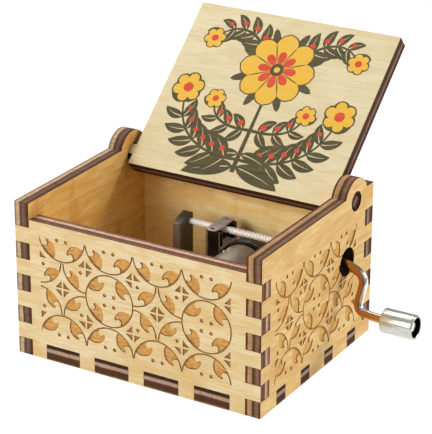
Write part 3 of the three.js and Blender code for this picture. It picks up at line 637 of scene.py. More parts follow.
def curvePoint(path, t):
    a, b, c, d = (Vector(p) for p in path)
    return a * (1 - t) ** 3 + b * 3 * t * (1 - t) ** 2 + c * 3 * t * t * (1 - t) + d * t ** 3


def blade(path, widthAt, steps=16, ahead=0.01):  # an outline round a curve, of changing width
    sides = ([], [])
    for i in range(steps + 1):
        t = i / steps
        here = curvePoint(path, t)
        along = (curvePoint(path, t + ahead) - curvePoint(path, t - ahead)).normalized()
        across = Vector((-along.y, along.x)) * widthAt(t) / 2
        sides[0].append(tuple(here + across))
        sides[1].append(tuple(here - across))
    return sides[0] + sides[1][::-1]


def stroke(path, width):
    most, less = spray["taper"]
    return [(blade(path, lambda t: width * (most - less * t)), inks["olive"])]


def petal(x, y, angle, start, length, width, look):
    way = Vector((math.cos(angle), math.sin(angle)))
    path = [Vector((x, y)) + way * (start + length * share) for share in (0, 1 / 3, 2 / 3, 1)]

    def widthAt(t):
        return width * math.sqrt(max(math.sin(math.pi * t ** petalForm["fullness"]), petalForm["leastSine"]))

    return (blade(path, widthAt, petalForm["steps"]), look)


def petalRing(x, y, turns, ring, look):
    return [petal(x, y, turn, *ring, inks[look]) for turn in turns]


def sprayLeaf(x, y, angle, length, width, bend):
    way = Vector((math.cos(angle), math.sin(angle)))
    side = Vector((-way.y, way.x)) * bend
    path = [Vector((x, y)) + way * length * share + side * lift for share, lift in leafForm["spine"]]
    skew, swell = leafForm["fullness"]
    first, last = leafForm["veinEnds"]

    def bodyWidth(t):
        return width * (math.sin(math.pi * t ** skew) ** swell if 0 < t < 1 else leafForm["tipWidth"])

    def veinWidth(t):
        return leafForm["veinWidth"] * (1 - t) if first < t < last else leafForm["hairWidth"]

    return [(blade(path, bodyWidth), inks["olive"]), (blade(path, veinWidth), looks["bare"])]


def blossom(x, y, radius, tilt):
    form = blossomForm
    turns = [tilt + math.tau * i / form["petals"] for i in range(form["petals"])]
    shapes = petalRing(x, y, turns, [radius * part for part in form["rim"]], "olive")
    shapes += petalRing(x, y, turns, [radius * part for part in form["petal"]], "amber")
    return shapes + [(disc(x, y, radius * form["heart"], form["heartSteps"]), inks["red"])]


def bigFlower():
    form = flowerForm
    x, y = form["at"]
    turns = [math.tau * i / form["petals"] + quarter for i in range(form["petals"])]
    between = [turn + math.pi / form["petals"] for turn in turns]
    start, length, width = form["petal"]
    marks = petalRing(x, y, between, form["sepal"], "olive")
    marks += petalRing(x, y, turns, (start, length + form["rim"], width + 2 * form["rim"]), "olive")
    marks += petalRing(x, y, turns, form["petal"], "amber")
    for turn, line in zip(turns, between):
        marks += petalRing(x, y, [turn], form["inner"], "red")
        marks += petalRing(x, y, [line], (start, length * form["lineShare"], form["rim"]), "olive")
    marks += [(disc(x, y, *form["heart"]), inks["olive"]), (disc(x, y, *form["eye"]), inks["amber"])]
    return marks


def sprayMarks():
    first, reach = spray["leafPlaces"]
    marks = []
    base = leafForm["base"]
    for start, size in base["starts"]:
        length, width = base["length"] * size, base["width"] * size
        marks += sprayLeaf(*start, math.radians(base["angle"]), length, width, -1)
    marks += stroke(spray["stem"]["path"], spray["stem"]["width"])
    for branch in spray["branches"]:
        path, count = branch["path"], branch["leaves"]
        marks += stroke(path, spray["branchWidth"])
        for i in range(count):
            t = first + reach * i / (count - 1)
            here = curvePoint(path, t)
            along = curvePoint(path, t + spray["headingAhead"]) - here
            heading = math.atan2(along.y, along.x)
            size = 1 - spray["leafShrink"] * i / count
            length, width = branch["leafLength"] * size, branch["leafWidth"] * size
            for side in (1, -1):
                marks += sprayLeaf(*here, heading + side * spray["leafSplay"], length, width, side)
            aside = Vector((-along.y, along.x)).normalized() * branch["leafWidth"] * spray["berryAside"]
            tip = curvePoint(path, t + spray["berryAhead"]) + aside
            marks.append((disc(*tip, spray["berryRadius"] * size, spray["berrySteps"]), inks["red"]))
        marks += blossom(*curvePoint(path, 1), branch["blossom"], count)
    return marks + mirrored(marks) + bigFlower()


# Ornament, outer and inner veneer, the way of the grain, and the marks' line and floor
shortSide = ("short", "warmBirchVeneer", "stainedBirchPaintedBounce", alongY, "scorchedLinePale", "toastedFloorPale")
panelLooks = {
    "front_panel": ("long", "paleBirchVeneer", "stainedBirchPaintedBounce", alongX, "scorchedLine", "toastedFloor"),
    "back_panel": ("long", "paleBirchVeneer", "birchPaintedFrontLight", alongX, "scorchedLine", "toastedFloor"),
    "right_panel": shortSide,
    "left_panel": shortSide,
}
crankBore = {"leastRadius": 3, "reach": 3.7}
bottomScrews = {"recess": 2.5, "depth": 1.6, "steps": 32}


def centreOf(loop):
    return tuple(sum(c) / len(loop) for c in zip(*loop))


def paintShadeInBore(piece, board, material):  # the crank hole's wall: charred, and darker than the cut edges with painted shade
    piece.data.materials.append(material)
    scorchedAndShaded = len(piece.data.materials) - 1
    for loop in outlineLoops("right_panel", board)[1:]:
        if math.dist(loop[0], centreOf(loop)) < crankBore["leastRadius"]:
            continue
        middle = onBoard(board, *centreOf(loop), 0)
        for face in piece.data.polygons:
            away = face.center - middle
            across = away - board["outward"] * away.dot(board["outward"])
            if face.material_index == edgeLook and across.length < crankBore["reach"] * mm:
                face.material_index = scorchedAndShaded


def buildBoards():
    boards = boardPlaces()
    faces = {(name, axis): veneer(f"{name}_{way}", tones, axis)
             for name, tones in veneerTones.items() for way, axis in (("alongX", alongX), ("alongY", alongY))}
    edges = {name: charredEdge(f"charredEdge_{name}", board, edgeBands[name])
             for name, board in boards.items()}
    scorchedAndShaded = {name: scorched(name) for name in scorchTones}
    for name, (kind, outer, inner, along, line, floor) in panelLooks.items():
        marks, window = patternOf(kind)
        if name in ("left_panel", "back_panel"):
            marks, window = mirrored(marks), [(-u, v) for u, v in window]
        materials = [faces[outer, along], faces[inner, along], edges[name], scorchedAndShaded[line], scorchedAndShaded[floor]]
        board = reliefBoard(name, boards[name], marks, window, trellis["depth"], materials)
        finish(board, "box", "plywood", name)
        if name == "right_panel":
            paintShadeInBore(board, boards[name], scorchedAndShaded["boreCharPaintedShade"])
        print(name, "cut")
    holes = outlineLoops("bottom_panel", boards["bottom_panel"])[1:]
    recess, depth, steps = bottomScrews.values()
    recesses = [(disc(*centreOf(hole), recess, steps), looks["line"]) for hole in holes]
    materials = [faces["paleBirchVeneer", alongX], faces["stainedBirchPaintedBounce", alongX], edges["bottom_panel"],
                 scorchedAndShaded["scorchedLine"]]
    bottom = reliefBoard("bottom_panel", boards["bottom_panel"], recesses, None, depth, materials)
    finish(bottom, "box", "plywood", "bottom_panel")
    materials = [faces["creamBirchVeneer", alongX]] * 2 + [edges["lid"]]
    materials += [printInk(name) for name in inkTones]
    lid = reliefBoard("lid", boards["lid"], sprayMarks(), None, -spray["inkRise"], materials)
    finish(lid, "lid", "printed_lid_wood", "lid")
    print("bottom and lid cut")


buildBoards()

# Metals: bright and dull tint, roughness, size of the marks along X, Y and Z, and how metallic each
# looks, which is under 1 where oxide, oil or dull plating veils the metal
metalLooks = {
    "nickelPlatedSteel": ("#fffffc", "#f8f6f2", 0.42, (0.5, 4, 4), 0.06),  # white, almost frosted plating
    "polishedNickel": ("#e4e2dc", "#d6d3cb", 0.14, (6, 6, 6), 1),  # bright, with sharp reflections
    "brushedNickelDrum": ("#b9b4a4", "#a9a494", 0.42, (2, 2, 2), 0.95),  # a soft grey glow across the drum
    "satinKnob": ("#d4d6cd", "#c6c9bf", 0.22, (4, 0.8, 0.8), 0.75),  # turned bar with broad pale bands
    "nickelPin": ("#f6f5f2", "#e6e3df", 0.3, (4, 4, 4), 0.5),  # a glint at the end of each pin
    "oiledSteelBracket": ("#7a6f60", "#655b4e", 0.52, (6, 6, 8), 0.55),  # brown-grey, dim with oil
    "phosphatedSteelPlate": ("#d2c9c6", "#c0b7b4", 0.55, (2, 2, 2), 0.3),  # flat mauve-grey coating
    "blackOxideSteel": ("#2b2826", "#1c1a19", 0.38, (3, 3, 3), 1),  # near black, with a faint gleam
    "blackSteelPaintedSheen": ("#9a8878", "#776a5e", 0.5, (3, 3, 2), 1),  # pale edges: a painted highlight, the grazing sheen on the black steel
    "bronzedWheelBrass": ("#7d7167", "#665b52", 0.5, (2, 2, 2), 0.6),  # brown, dull brass
    "zincPlatedSteel": ("#b9bab4", "#9d9b90", 0.36, (3, 3, 3), 1),  # cool grey with cloudy patches
    "springSteel": ("#bdbbb8", "#9b9996", 0.3, (5, 0.4, 4), 1),  # ground teeth with fine lines
    "turnedBrass": ("#d4ae62", "#b98f49", 0.28, (0.5, 4, 4), 1),  # yellow, with turning marks
}
metalMarks = {
    "detail": 4,
    "ramp": (0.35, 0.65),
    "roughRange": {1: 0.3, 2: 0.7},
    "roughSpread": (1.25, 0.8),
    "bumpDepth": 0.03,
    "bumpShare": 0.15,
}
# Nickel wire with painted light: where the bent wire faces the box, and all round near the panel, it is
# painted the amber of the wood it reflects (a painted reflection, with painted shade at the hole)
wireReflectionLook = {
    "roughness": 0.22,
    "outward": (0.75, 0.25, 0.6),
    "reflectionTo": 0.2,
    "whiteFrom": 0.5,
    "shadedTo": 33.5,
    "litFrom": 36.5,
    "tones": [(0, "#c78d4c"), (0.75, "#b3926c"), (1, "#f4f2ee")],
}


def metal(name):
    bright, dull, rough, marks, share = metalLooks[name]
    material, tree, shader = startMaterial(name, {"Metallic": share})
    noise = grainyNoise(tree, marks, metalMarks["detail"])
    tone = addNode(tree, "ShaderNodeValToRGB", {0: noise}, zip(metalMarks["ramp"], (dull, bright)))
    dullest, shiniest = (rough * part for part in metalMarks["roughSpread"])
    spread = {**metalMarks["roughRange"], 3: dullest, 4: shiniest}
    wearAndSheen = addNode(tree, "ShaderNodeMapRange", {0: noise, **spread})
    tree.links.new(wearAndSheen, shader.inputs["Roughness"])
    dress(tree, shader, tone, noise, metalMarks["bumpShare"], metalMarks["bumpDepth"])
    return material


def paintedReflectionWire():
    look = wireReflectionLook
    polish = {"Metallic": 1, "Roughness": look["roughness"]}
    material, tree, shader = startMaterial("nickelWirePaintedReflection", polish)
    facing = addNode(tree, "ShaderNodeTexCoord", out="Normal")
    place = addNode(tree, "ShaderNodeTexCoord", out="Object")
    turned = addNode(tree, "ShaderNodeVectorMath", {0: facing, 1: look["outward"]}, out="Value",
                     operation="DOT_PRODUCT")
    # Painted reflection and shade: faces turned to the box, and the wire all round near the panel, take the
    # amber tone
    awayFromBox = addNode(tree, "ShaderNodeMapRange", {0: turned, 1: look["reflectionTo"], 2: look["whiteFrom"]})
    along = addNode(tree, "ShaderNodeSeparateXYZ", {0: place}, out="X")
    pastPanel = addNode(tree, "ShaderNodeMapRange", {0: along, 1: look["shadedTo"] * mm, 2: look["litFrom"] * mm})
    share = addNode(tree, "ShaderNodeMath", {0: awayFromBox, 1: pastPanel}, operation="MULTIPLY")
    dress(tree, shader, addNode(tree, "ShaderNodeValToRGB", {0: share}, look["tones"]))
    return material


metals = {name: metal(name) for name in metalLooks}
metals["nickelWirePaintedReflection"] = paintedReflectionWire()


def newPiece(name, build, material, smoothAngle):
    mesh = bpy.data.meshes.new(name)
    build.to_mesh(mesh)
    build.free()
    mesh.materials.append(material)
    mesh.shade_smooth()
    mesh.set_sharp_from_angle(angle=math.radians(smoothAngle))
    return addPiece(name, mesh)


def middleOf(node):
    low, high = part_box(node)
    return (low + high) / 2 / mm


def spanOf(node, axis):
    low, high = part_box(node)
    return low[axis] / mm, high[axis] / mm


def alongXAt(x, y, z):
    return Matrix.Translation(Vector((x, y, z)) * mm)


def alongYAt(x, y, z):
    return alongXAt(x, y, z) @ Matrix.Rotation(quarter, 4, "Z")


def roundCorners(points, bend, steps=5):  # each inner corner becomes a curve that starts bend away from it
    spots = [Vector(p) for p in points]
    shares = [i / steps for i in range(steps + 1)]
    path = [spots[0]]
    for before, here, after in zip(spots, spots[1:], spots[2:]):
        a = here + (before - here).normalized() * min(bend, (before - here).length / 2)
        b = here + (after - here).normalized() * min(bend, (after - here).length / 2)
        path += [a * (1 - t) ** 2 + here * 2 * t * (1 - t) + b * t * t for t in shares]
    return path + [spots[-1]]


def addSkin(build, rings, closes=False):  # faces from each ring of corners to the next
    steps = len(rings[0])
    for a, b in zip(rings, rings[1:] + (rings[:1] if closes else [])):
        for k in range(steps):
            corners = dict.fromkeys((a[k], b[k], b[(k + 1) % steps], a[(k + 1) % steps]))
            if len(corners) > 2:
                build.faces.new(corners)


def lathe(name, profile, place, material, steps):
    # profile is (radius, distance along the axis) pairs; it starts and ends on the axis, or closes
    build = bmesh.new()
    rings = []
    for radius, along in profile:
        if radius < nearby["onAxis"]:
            rings.append([build.verts.new((along * mm, 0, 0))] * steps)
            continue
        turns = [math.tau * k / steps for k in range(steps)]
        rings.append([build.verts.new((along * mm, radius * mm * math.cos(t), radius * mm * math.sin(t)))
                      for t in turns])
    addSkin(build, rings, closes=profile[0][0] > nearby["onAxis"])
    bmesh.ops.recalc_face_normals(build, faces=build.faces)
    build.transform(place)
    return newPiece(name, build, material, rounding["smoothAngle"])


# Plates and brackets: the CAD solids with rounded edges
rounding = {"smoothAngle": 35, "flatAngle": 1, "sharpFrom": 40, "steps": 3, "sheenEdgeSteps": 5, "upright": 0.99}
# The front post's outer upright edges get a paler finish: a painted highlight for the sheen along them
sheenEdges = {"node": "bridge_post_front", "finish": "blackSteelPaintedSheen", "left": 0.8, "right": 0.26}
roundedPieces = {  # finish, width of the rounding, body and slot
    "bed_plate": ("zincPlatedSteel", 0.18, "box", "bed_zinc"),
    "left_bracket": ("oiledSteelBracket", 0.4, "box", "bracket_steel"),
    "right_bracket": ("oiledSteelBracket", 0.3, "box", "bracket_steel"),
    "front_bearing": ("zincPlatedSteel", 0.2, "box", "bed_zinc"),
    "rear_bearing": ("zincPlatedSteel", 0.2, "box", "bed_zinc"),
    "bridge_post_front": ("blackOxideSteel", 0.12, "box", "post_black"),
    "bridge_post_rear": ("blackOxideSteel", 0.12, "box", "post_black"),
    "bridge_plate": ("phosphatedSteelPlate", 0.12, "box", "bridge_steel"),
    "bridge_tie": ("phosphatedSteelPlate", 0.12, "box", "bridge_steel"),
    "comb": ("springSteel", 0.05, "box", "comb_steel"),
    "comb_seat": ("zincPlatedSteel", 0.25, "box", "bed_zinc"),
    "worm_wheel": ("bronzedWheelBrass", 0.05, "cylinder", "brass"),
}


def bevelled(build, edges, width, steps, **more):
    bmesh.ops.bevel(build, geom=edges, offset=width * mm, segments=steps, profile=0.5, affect="EDGES",
                    clamp_overlap=True, **more)


def softened(node, material, width, steps=rounding["steps"], smoothAngle=rounding["smoothAngle"]):
    wearAndSheen = node == sheenEdges["node"]
    near = nearby["merge"] * mm
    build = bmesh.new()
    build.from_mesh(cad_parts[node].data)
    bmesh.ops.remove_doubles(build, verts=build.verts, dist=near)
    bmesh.ops.dissolve_limit(build, angle_limit=math.radians(rounding["flatAngle"]), verts=build.verts,
                             edges=build.edges)
    if wearAndSheen:  # outer upright edges, rounder than the rest, and paler with a painted highlight
        low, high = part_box(node)
        for x, reach in ((low.x, sheenEdges["left"]), (high.x, sheenEdges["right"])):
            edges = [e for e in build.edges if all(abs(v.co.x - x) < near for v in e.verts)
                     and abs((e.verts[0].co - e.verts[1].co).normalized().z) > rounding["upright"]]
            bevelled(build, edges, reach, rounding["sheenEdgeSteps"], material=1)
    sharp = math.radians(rounding["sharpFrom"])
    bevelled(build, [e for e in build.edges if e.calc_face_angle(0) > sharp], width, steps)
    piece = newPiece(node + "_metal", build, metals[material], smoothAngle)
    if wearAndSheen:
        piece.data.materials.append(metals[sheenEdges["finish"]])
    return piece


def platesAndBrackets():
    for node, (finishName, width, body, slot) in roundedPieces.items():
        finish(softened(node, finishName, width), body, slot, node)
    print("plates and brackets rounded")


# A right-hand worm: rounded crests, and the same places as the CAD thread
wormSize = {
    "root": 0.66,
    "crest": 0.9,
    "plain": 0.78,
    "journal": 0.95,
    "pitch": 0.8,
    "start": 0.9,
    "end": 14.1,
    "crestShare": 0.3,
    "flankShare": 1.6,
    "chamfer": 0.2,
    "sides": 48,
    "ringsPerPitch": 12,
    "smoothAngle": 60,
}


def wormShaft():
    size = wormSize
    start, end, pitch, root = (size[key] for key in ("start", "end", "pitch", "root"))
    left, right = spanOf("worm_shaft", 0)
    middle = middleOf("worm_shaft")
    over = middleOf("music_cylinder").x
    build = bmesh.new()
    plan = [(left, size["plain"] - size["chamfer"]), (left + size["chamfer"], size["plain"]),
            (start - pitch, size["plain"]), (start - pitch / 2, root)]
    count = round((end - start) / pitch * size["ringsPerPitch"])
    plan += [(start + (end - start) * i / count, None) for i in range(count + 1)]
    plan += [(end + pitch / 2, root), (end + pitch, size["journal"]),
             (right - size["chamfer"], size["journal"]), (right, size["journal"] - size["chamfer"])]
    rings = []
    for x, plain in plan:
        ring = []
        for k in range(size["sides"]):
            angle = math.tau * k / size["sides"]
            turns = (x - over) / pitch - (angle + quarter) / math.tau
            away = abs(turns - round(turns)) * 2
            fall = (away - size["crestShare"]) / (1 - size["flankShare"] * size["crestShare"])
            rise = (1 + math.cos(math.pi * min(max(fall, 0), 1))) / 2
            reach = plain or root + (size["crest"] - root) * rise
            spot = Vector((x, middle.y + reach * math.cos(angle), middle.z + reach * math.sin(angle)))
            ring.append(build.verts.new(spot * mm))
        rings.append(ring)
    addSkin(build, rings)
    build.faces.new(rings[0])
    build.faces.new(rings[-1][::-1])
    bmesh.ops.recalc_face_normals(build, faces=build.faces)
    shaft = newPiece("worm_shaft_metal", build, metals["nickelPlatedSteel"], size["smoothAngle"])
    finish(shaft, "crank", "worm_steel", "worm_shaft")
    print("worm cut")


# Node trees: every one has its sizes as named inputs, in metres
def startTree(name, sizes):
    tree = bpy.data.node_groups.new(name, "GeometryNodeTree")
    tree.interface.new_socket("Geometry", in_out="INPUT", socket_type="NodeSocketGeometry")
    for label in sizes:
        kind = "NodeSocketInt" if label == "Sides" else "NodeSocketFloat"
        tree.interface.new_socket(label, in_out="INPUT", socket_type=kind)
    tree.interface.new_socket("Geometry", in_out="OUTPUT", socket_type="NodeSocketGeometry")
    return tree, tree.nodes.new("NodeGroupInput").outputs


def endTree(tree, geometry, material):
    real = addNode(tree, "GeometryNodeRealizeInstances", {"Geometry": geometry})
    coated = addNode(tree, "GeometryNodeSetMaterial", {"Geometry": real, "Material": material})
    addNode(tree, "NodeGroupOutput", {0: coated})
    return tree


def grown(piece, tree, values):  # runs the tree on the piece and keeps the result as a plain mesh
    modifier = piece.modifiers.new(tree.name, "NODES")
    modifier.node_group = tree
    for item in tree.interface.items_tree:
        if item.item_type == "SOCKET" and item.in_out == "INPUT" and item.name in values:
            modifier[item.identifier] = values[item.name]
    evaluated = piece.evaluated_get(bpy.context.evaluated_depsgraph_get())
    mesh = bpy.data.meshes.new_from_object(evaluated)
    piece.modifiers.remove(modifier)
    piece.data = mesh
    return mesh


# Tune pins: one beat after another round the drum, every third with a chord, as in the CAD drum
pinSize = {
    "beats": 60,
    "bend": 16,
    "rise": 38,
    "start": 26,
    "spread": 41,
    "chordEvery": 3,
    "turn": 2,
    "tracks": 18,
    "radius": 0.24,
    "height": 0.45,
    "sink": 0.2,
    "frontLand": 0.6,
    "backLand": 1.9,
    "sides": 12,
}
drumSize = {"radius": 6.6, "wall": 0.5, "edge": 0.12, "steps": 144}


def tunePins(radius, front, pitch):  # the foot of every pin, round an axis along Y that starts at the origin
    size = pinSize
    feet = []
    for beat in range(size["beats"]):
        note = (size["bend"] * beat * beat + size["rise"] * beat + size["start"]) % size["spread"]
        angle = math.tau * beat / size["beats"] + math.radians(size["turn"])
        chord = (note, note + 1) if beat % size["chordEvery"] == 0 else (note,)
        for track in chord:
            if track < size["tracks"]:
                across = front + (track + 0.5) * pitch
                feet.append(Vector((radius * math.sin(angle), across, radius * math.cos(angle))) * mm)
    return feet


def pinTree():  # a pin on every point, pointing away from the Y axis
    tree, size = startTree("tunePins", ("Pin Radius", "Pin Height"))
    pin = addNode(tree, "GeometryNodeMeshCone", {
        "Vertices": pinSize["sides"], "Radius Top": size["Pin Radius"], "Radius Bottom": size["Pin Radius"],
        "Depth": size["Pin Height"]}, out="Mesh")
    spot = addNode(tree, "GeometryNodeInputPosition")
    away = addNode(tree, "ShaderNodeVectorMath", {0: spot, 1: (1, 0, 1)}, operation="MULTIPLY")
    aim = addNode(tree, "FunctionNodeAlignEulerToVector", {"Vector": away}, axis="Z")
    standing = addNode(tree, "GeometryNodeInstanceOnPoints", {
        "Points": size["Geometry"], "Instance": pin, "Rotation": aim})
    return endTree(tree, standing, metals["nickelPin"])


def musicDrum():
    axis = middleOf("cylinder_arbor")
    front, back = spanOf("music_cylinder", 1)
    radius, edge, length = drumSize["radius"], drumSize["edge"], back - front
    inner = radius - drumSize["wall"]
    profile = [(radius - edge, 0), (radius, edge), (radius, length - edge), (radius - edge, length),
               (inner, length), (inner, 0)]
    drum = lathe("music_cylinder_metal", profile, alongYAt(0, 0, 0), metals["brushedNickelDrum"],
                 drumSize["steps"])
    drum.data.transform(alongXAt(axis.x, front, axis.z))
    finish(drum, "cylinder", "cylinder_steel", "music_cylinder")
    pitch = (length - pinSize["frontLand"] - pinSize["backLand"]) / pinSize["tracks"]
    feet = bpy.data.meshes.new("music_cylinder_pins")
    feet.from_pydata(tunePins(radius - pinSize["sink"], pinSize["frontLand"], pitch), [], [])
    pins = addPiece("music_cylinder_pins", feet)
    made = grown(pins, pinTree(), {
        "Pin Radius": pinSize["radius"] * mm, "Pin Height": (pinSize["height"] + pinSize["sink"]) * mm})
    made.transform(alongXAt(axis.x, front, axis.z))
    finish(pins, "cylinder", "cylinder_steel")
    print("drum pinned")


turnedPieces = {  # bore radius, outer radius, rounding of the rims, finish, body, slot and steps round
    "wheel_flange": (1.3, 6.85, 0.2, "blackOxideSteel", "cylinder", "post_black", 120),
    "cylinder_cap_front": (1.3, 6.05, 0.15, "brushedNickelDrum", "cylinder", "cylinder_steel", 96),
    "cylinder_cap_rear": (1.3, 6.05, 0.15, "brushedNickelDrum", "cylinder", "cylinder_steel", 96),
    "cylinder_arbor": (0, 1.25, 0.2, "nickelPlatedSteel", "cylinder", "cylinder_steel", 48),
    "arbor_clip": (1.3, 2.2, 0.1, "blackOxideSteel", "cylinder", "post_black", 48),
    "arbor_sleeve": (1.3, 2.2, 0.15, "turnedBrass", "cylinder", "brass", 48),
    "shaft_collar": (0.98, 1.9, 0.15, "turnedBrass", "crank", "brass", 64),
}
rimSteps = 3
# A ring behind the flange's face
flangeRing = {"inner": 6.8, "outer": 6.88, "front": 0.9, "back": 1.15, "steps": 120}
hubEdge = {"width": 0.12, "steps": 2, "smoothAngle": 30}


def turnedMetal():
    for node, (bore, outer, edge, finishName, body, slot, steps) in turnedPieces.items():
        alongShaft = body == "crank"
        start, end = spanOf(node, 0 if alongShaft else 1)
        middle = middleOf(node)
        place = alongXAt(start, middle.y, middle.z) if alongShaft else alongYAt(middle.x, start, middle.z)
        corners = [(bore, 0), (outer, 0), (outer, end - start), (bore, end - start)]
        profile = roundCorners(corners, edge, rimSteps)
        finish(lathe(node + "_metal", profile, place, metals[finishName], steps), body, slot, node)
    start, middle = spanOf("wheel_flange", 1)[0], middleOf("wheel_flange")
    inner, outer, front, back, steps = flangeRing.values()
    corners = [(inner, front), (outer, front), (outer, back), (inner, back)]
    place = alongYAt(middle.x, start, middle.z)
    finish(lathe("wheel_flange_ring", corners, place, metals["zincPlatedSteel"], steps), "cylinder", "brass")
    hub = softened("crank_hub", "polishedNickel", **hubEdge)
    finish(hub, "crank", "crank_chrome", "crank_hub")
    print("turned pieces made")


# The crank: a bent wire with a riveted head, and a turned knob with a cup at its end
crankSize = {
    "lean": 17.64,
    "corners": [(23.2, 0), (27.9, 0), (37.2, 3.2), (36.2, 11.25), (40.6, 11.9), (50.7, 11.9)],
    "bend": 2.6,
    "bendSteps": 10,
    "wireRadius": 1.05,
    "wireSides": 32,
    "wireSmooth": 45,
}
headSize = {"end": 47.4, "radius": 1.6, "length": 0.6, "edge": 0.25, "edgeSteps": 4, "steps": 48}
knobSize = {
    "radius": 2.9,
    "cup": 2.35,
    "cupReach": 0.02,
    "bore": 1.11,
    "web": 3,
    "edges": [0.15, 0.7, 0.25, 0.15],
    "edgeSteps": 6,
    "steps": 96,
}


def wireTree():
    tree, size = startTree("bentWire", ("Wire Radius", "Sides"))
    path = addNode(tree, "GeometryNodeMeshToCurve", {"Mesh": size["Geometry"]})
    section = addNode(tree, "GeometryNodeCurvePrimitiveCircle", {
        "Resolution": size["Sides"], "Radius": size["Wire Radius"]})
    wire = addNode(tree, "GeometryNodeCurveToMesh", {
        "Curve": path, "Profile Curve": section, "Fill Caps": True})
    return endTree(tree, wire, metals["nickelWirePaintedReflection"])


def crankWire(place):
    size = crankSize
    path = roundCorners([(x, 0, -drop) for x, drop in size["corners"]], size["bend"], size["bendSteps"])
    mesh = bpy.data.meshes.new("crank_wire_metal")
    mesh.from_pydata([tuple(p * mm) for p in path], [(i, i + 1) for i in range(len(path) - 1)], [])
    wire = addPiece("crank_wire_metal", mesh)
    made = grown(wire, wireTree(), {"Wire Radius": size["wireRadius"] * mm, "Sides": size["wireSides"]})
    made.transform(place)
    made.shade_smooth()
    made.set_sharp_from_angle(angle=math.radians(size["wireSmooth"]))
    return wire


def crankHead(hand):
    size = headSize
    start = size["end"] - size["length"]
    corners = [(0, start), (size["radius"], start), (size["radius"], size["end"]), (0, size["end"])]
    profile = roundCorners(corners, size["edge"], size["edgeSteps"])
    return lathe("crank_head_metal", profile, hand, metals["polishedNickel"], size["steps"])


def crankKnob(hand):
    radius, cup, bore = (knobSize[key] for key in ("radius", "cup", "bore"))
    left, right = spanOf("crank_knob", 0)
    floor = left + knobSize["web"]
    corners = [(bore, left), (radius, left), (radius, right), (cup, right), (cup, floor), (bore, floor)]
    profile = [Vector(corners[0])]
    for i, bend in enumerate(knobSize["edges"]):
        profile += roundCorners(corners[i:i + 3], bend, knobSize["edgeSteps"])[1:-1]
    profile.append(Vector(corners[-1]))
    knob = lathe("crank_knob_metal", profile, hand, metals["satinKnob"], knobSize["steps"])
    knob.data.materials.append(metals["blackOxideSteel"])
    for face in knob.data.polygons:  # the cup's inside is painted black: painted shade in the hollow
        spot = hand.inverted() @ face.center / mm
        if spot.x > floor - knobSize["cupReach"] and math.hypot(spot.y, spot.z) < cup + knobSize["cupReach"]:
            face.material_index = 1
    return knob


def crank():
    axis = middleOf("worm_shaft")
    lean = Matrix.Rotation(-math.radians(crankSize["lean"]), 4, "X")
    place = Matrix.Translation(Vector((0, axis.y, axis.z)) * mm) @ lean
    hand = place @ alongXAt(0, 0, -crankSize["corners"][-1][1])
    wire, head, knob = crankWire(place), crankHead(hand), crankKnob(hand)
    finish(wire, "crank", "crank_chrome", "crank_wire")
    finish(head, "crank", "crank_chrome")
    finish(knob, "knob", "knob_chrome", "crank_knob")
    print("crank bent")


# Screws: one tree makes them all
screwKinds = {  # head height, shank radius, slot width and depth, and finish
    "bed_screw": (1.4, 1.15, 0.55, 0.7, "zincPlatedSteel"),
    "bracket_screw": (0.8, 0.75, 0.4, 0.4, "zincPlatedSteel"),
    "bearing_screw": (0.8, 0.75, 0.4, 0.4, "zincPlatedSteel"),
    "comb_screw": (1.1, 0.9, 0.5, 0.55, "nickelPlatedSteel"),
    "hub_set_screw": (1.0, 0.5, 0.25, 0.4, "blackOxideSteel"),
}
screwSides = {"head": 48, "shank": 32}
slotReach = 3  # the slot cutter's length, in head radii
turnPerMetre = 1000  # radians: each screw's slot stops at an angle of its own


def screwTree(material):
    tree, size = startTree("slottedScrew", (
        "Head Radius", "Head Height", "Shank Radius", "Shank Length", "Slot Width", "Slot Depth"))
    half = addNode(tree, "ShaderNodeMath", {0: size["Head Height"], 1: 0.5}, operation="MULTIPLY")
    head = addNode(tree, "GeometryNodeMeshCylinder", {
        "Vertices": screwSides["head"], "Radius": size["Head Radius"], "Depth": size["Head Height"]})
    rise = addNode(tree, "ShaderNodeCombineXYZ", {"Z": half})
    headUp = addNode(tree, "GeometryNodeTransform", {"Geometry": head, "Translation": rise})
    reach = addNode(tree, "ShaderNodeMath", {0: size["Head Radius"], 1: slotReach}, operation="MULTIPLY")
    deep = addNode(tree, "ShaderNodeMath", {0: size["Slot Depth"], 1: 2}, operation="MULTIPLY")
    block = addNode(tree, "ShaderNodeCombineXYZ", {"X": reach, "Y": size["Slot Width"], "Z": deep})
    slot = addNode(tree, "GeometryNodeMeshCube", {"Size": block})
    top = addNode(tree, "ShaderNodeCombineXYZ", {"Z": size["Head Height"]})
    slotUp = addNode(tree, "GeometryNodeTransform", {"Geometry": slot, "Translation": top})
    cutHead = addNode(tree, "GeometryNodeMeshBoolean", {"Mesh 1": headUp, "Mesh 2": slotUp},
                      operation="DIFFERENCE")
    over = addNode(tree, "ShaderNodeMath", {0: size["Shank Length"], 1: half}, operation="ADD")
    shank = addNode(tree, "GeometryNodeMeshCylinder", {
        "Vertices": screwSides["shank"], "Radius": size["Shank Radius"], "Depth": over})
    sunk = addNode(tree, "ShaderNodeMath", {0: over, 1: -0.5}, operation="MULTIPLY")
    low = addNode(tree, "ShaderNodeCombineXYZ", {"Z": sunk})
    shankDown = addNode(tree, "GeometryNodeTransform", {"Geometry": shank, "Translation": low})
    both = addNode(tree, "GeometryNodeJoinGeometry", {0: [cutHead, shankDown]})
    return endTree(tree, both, material)


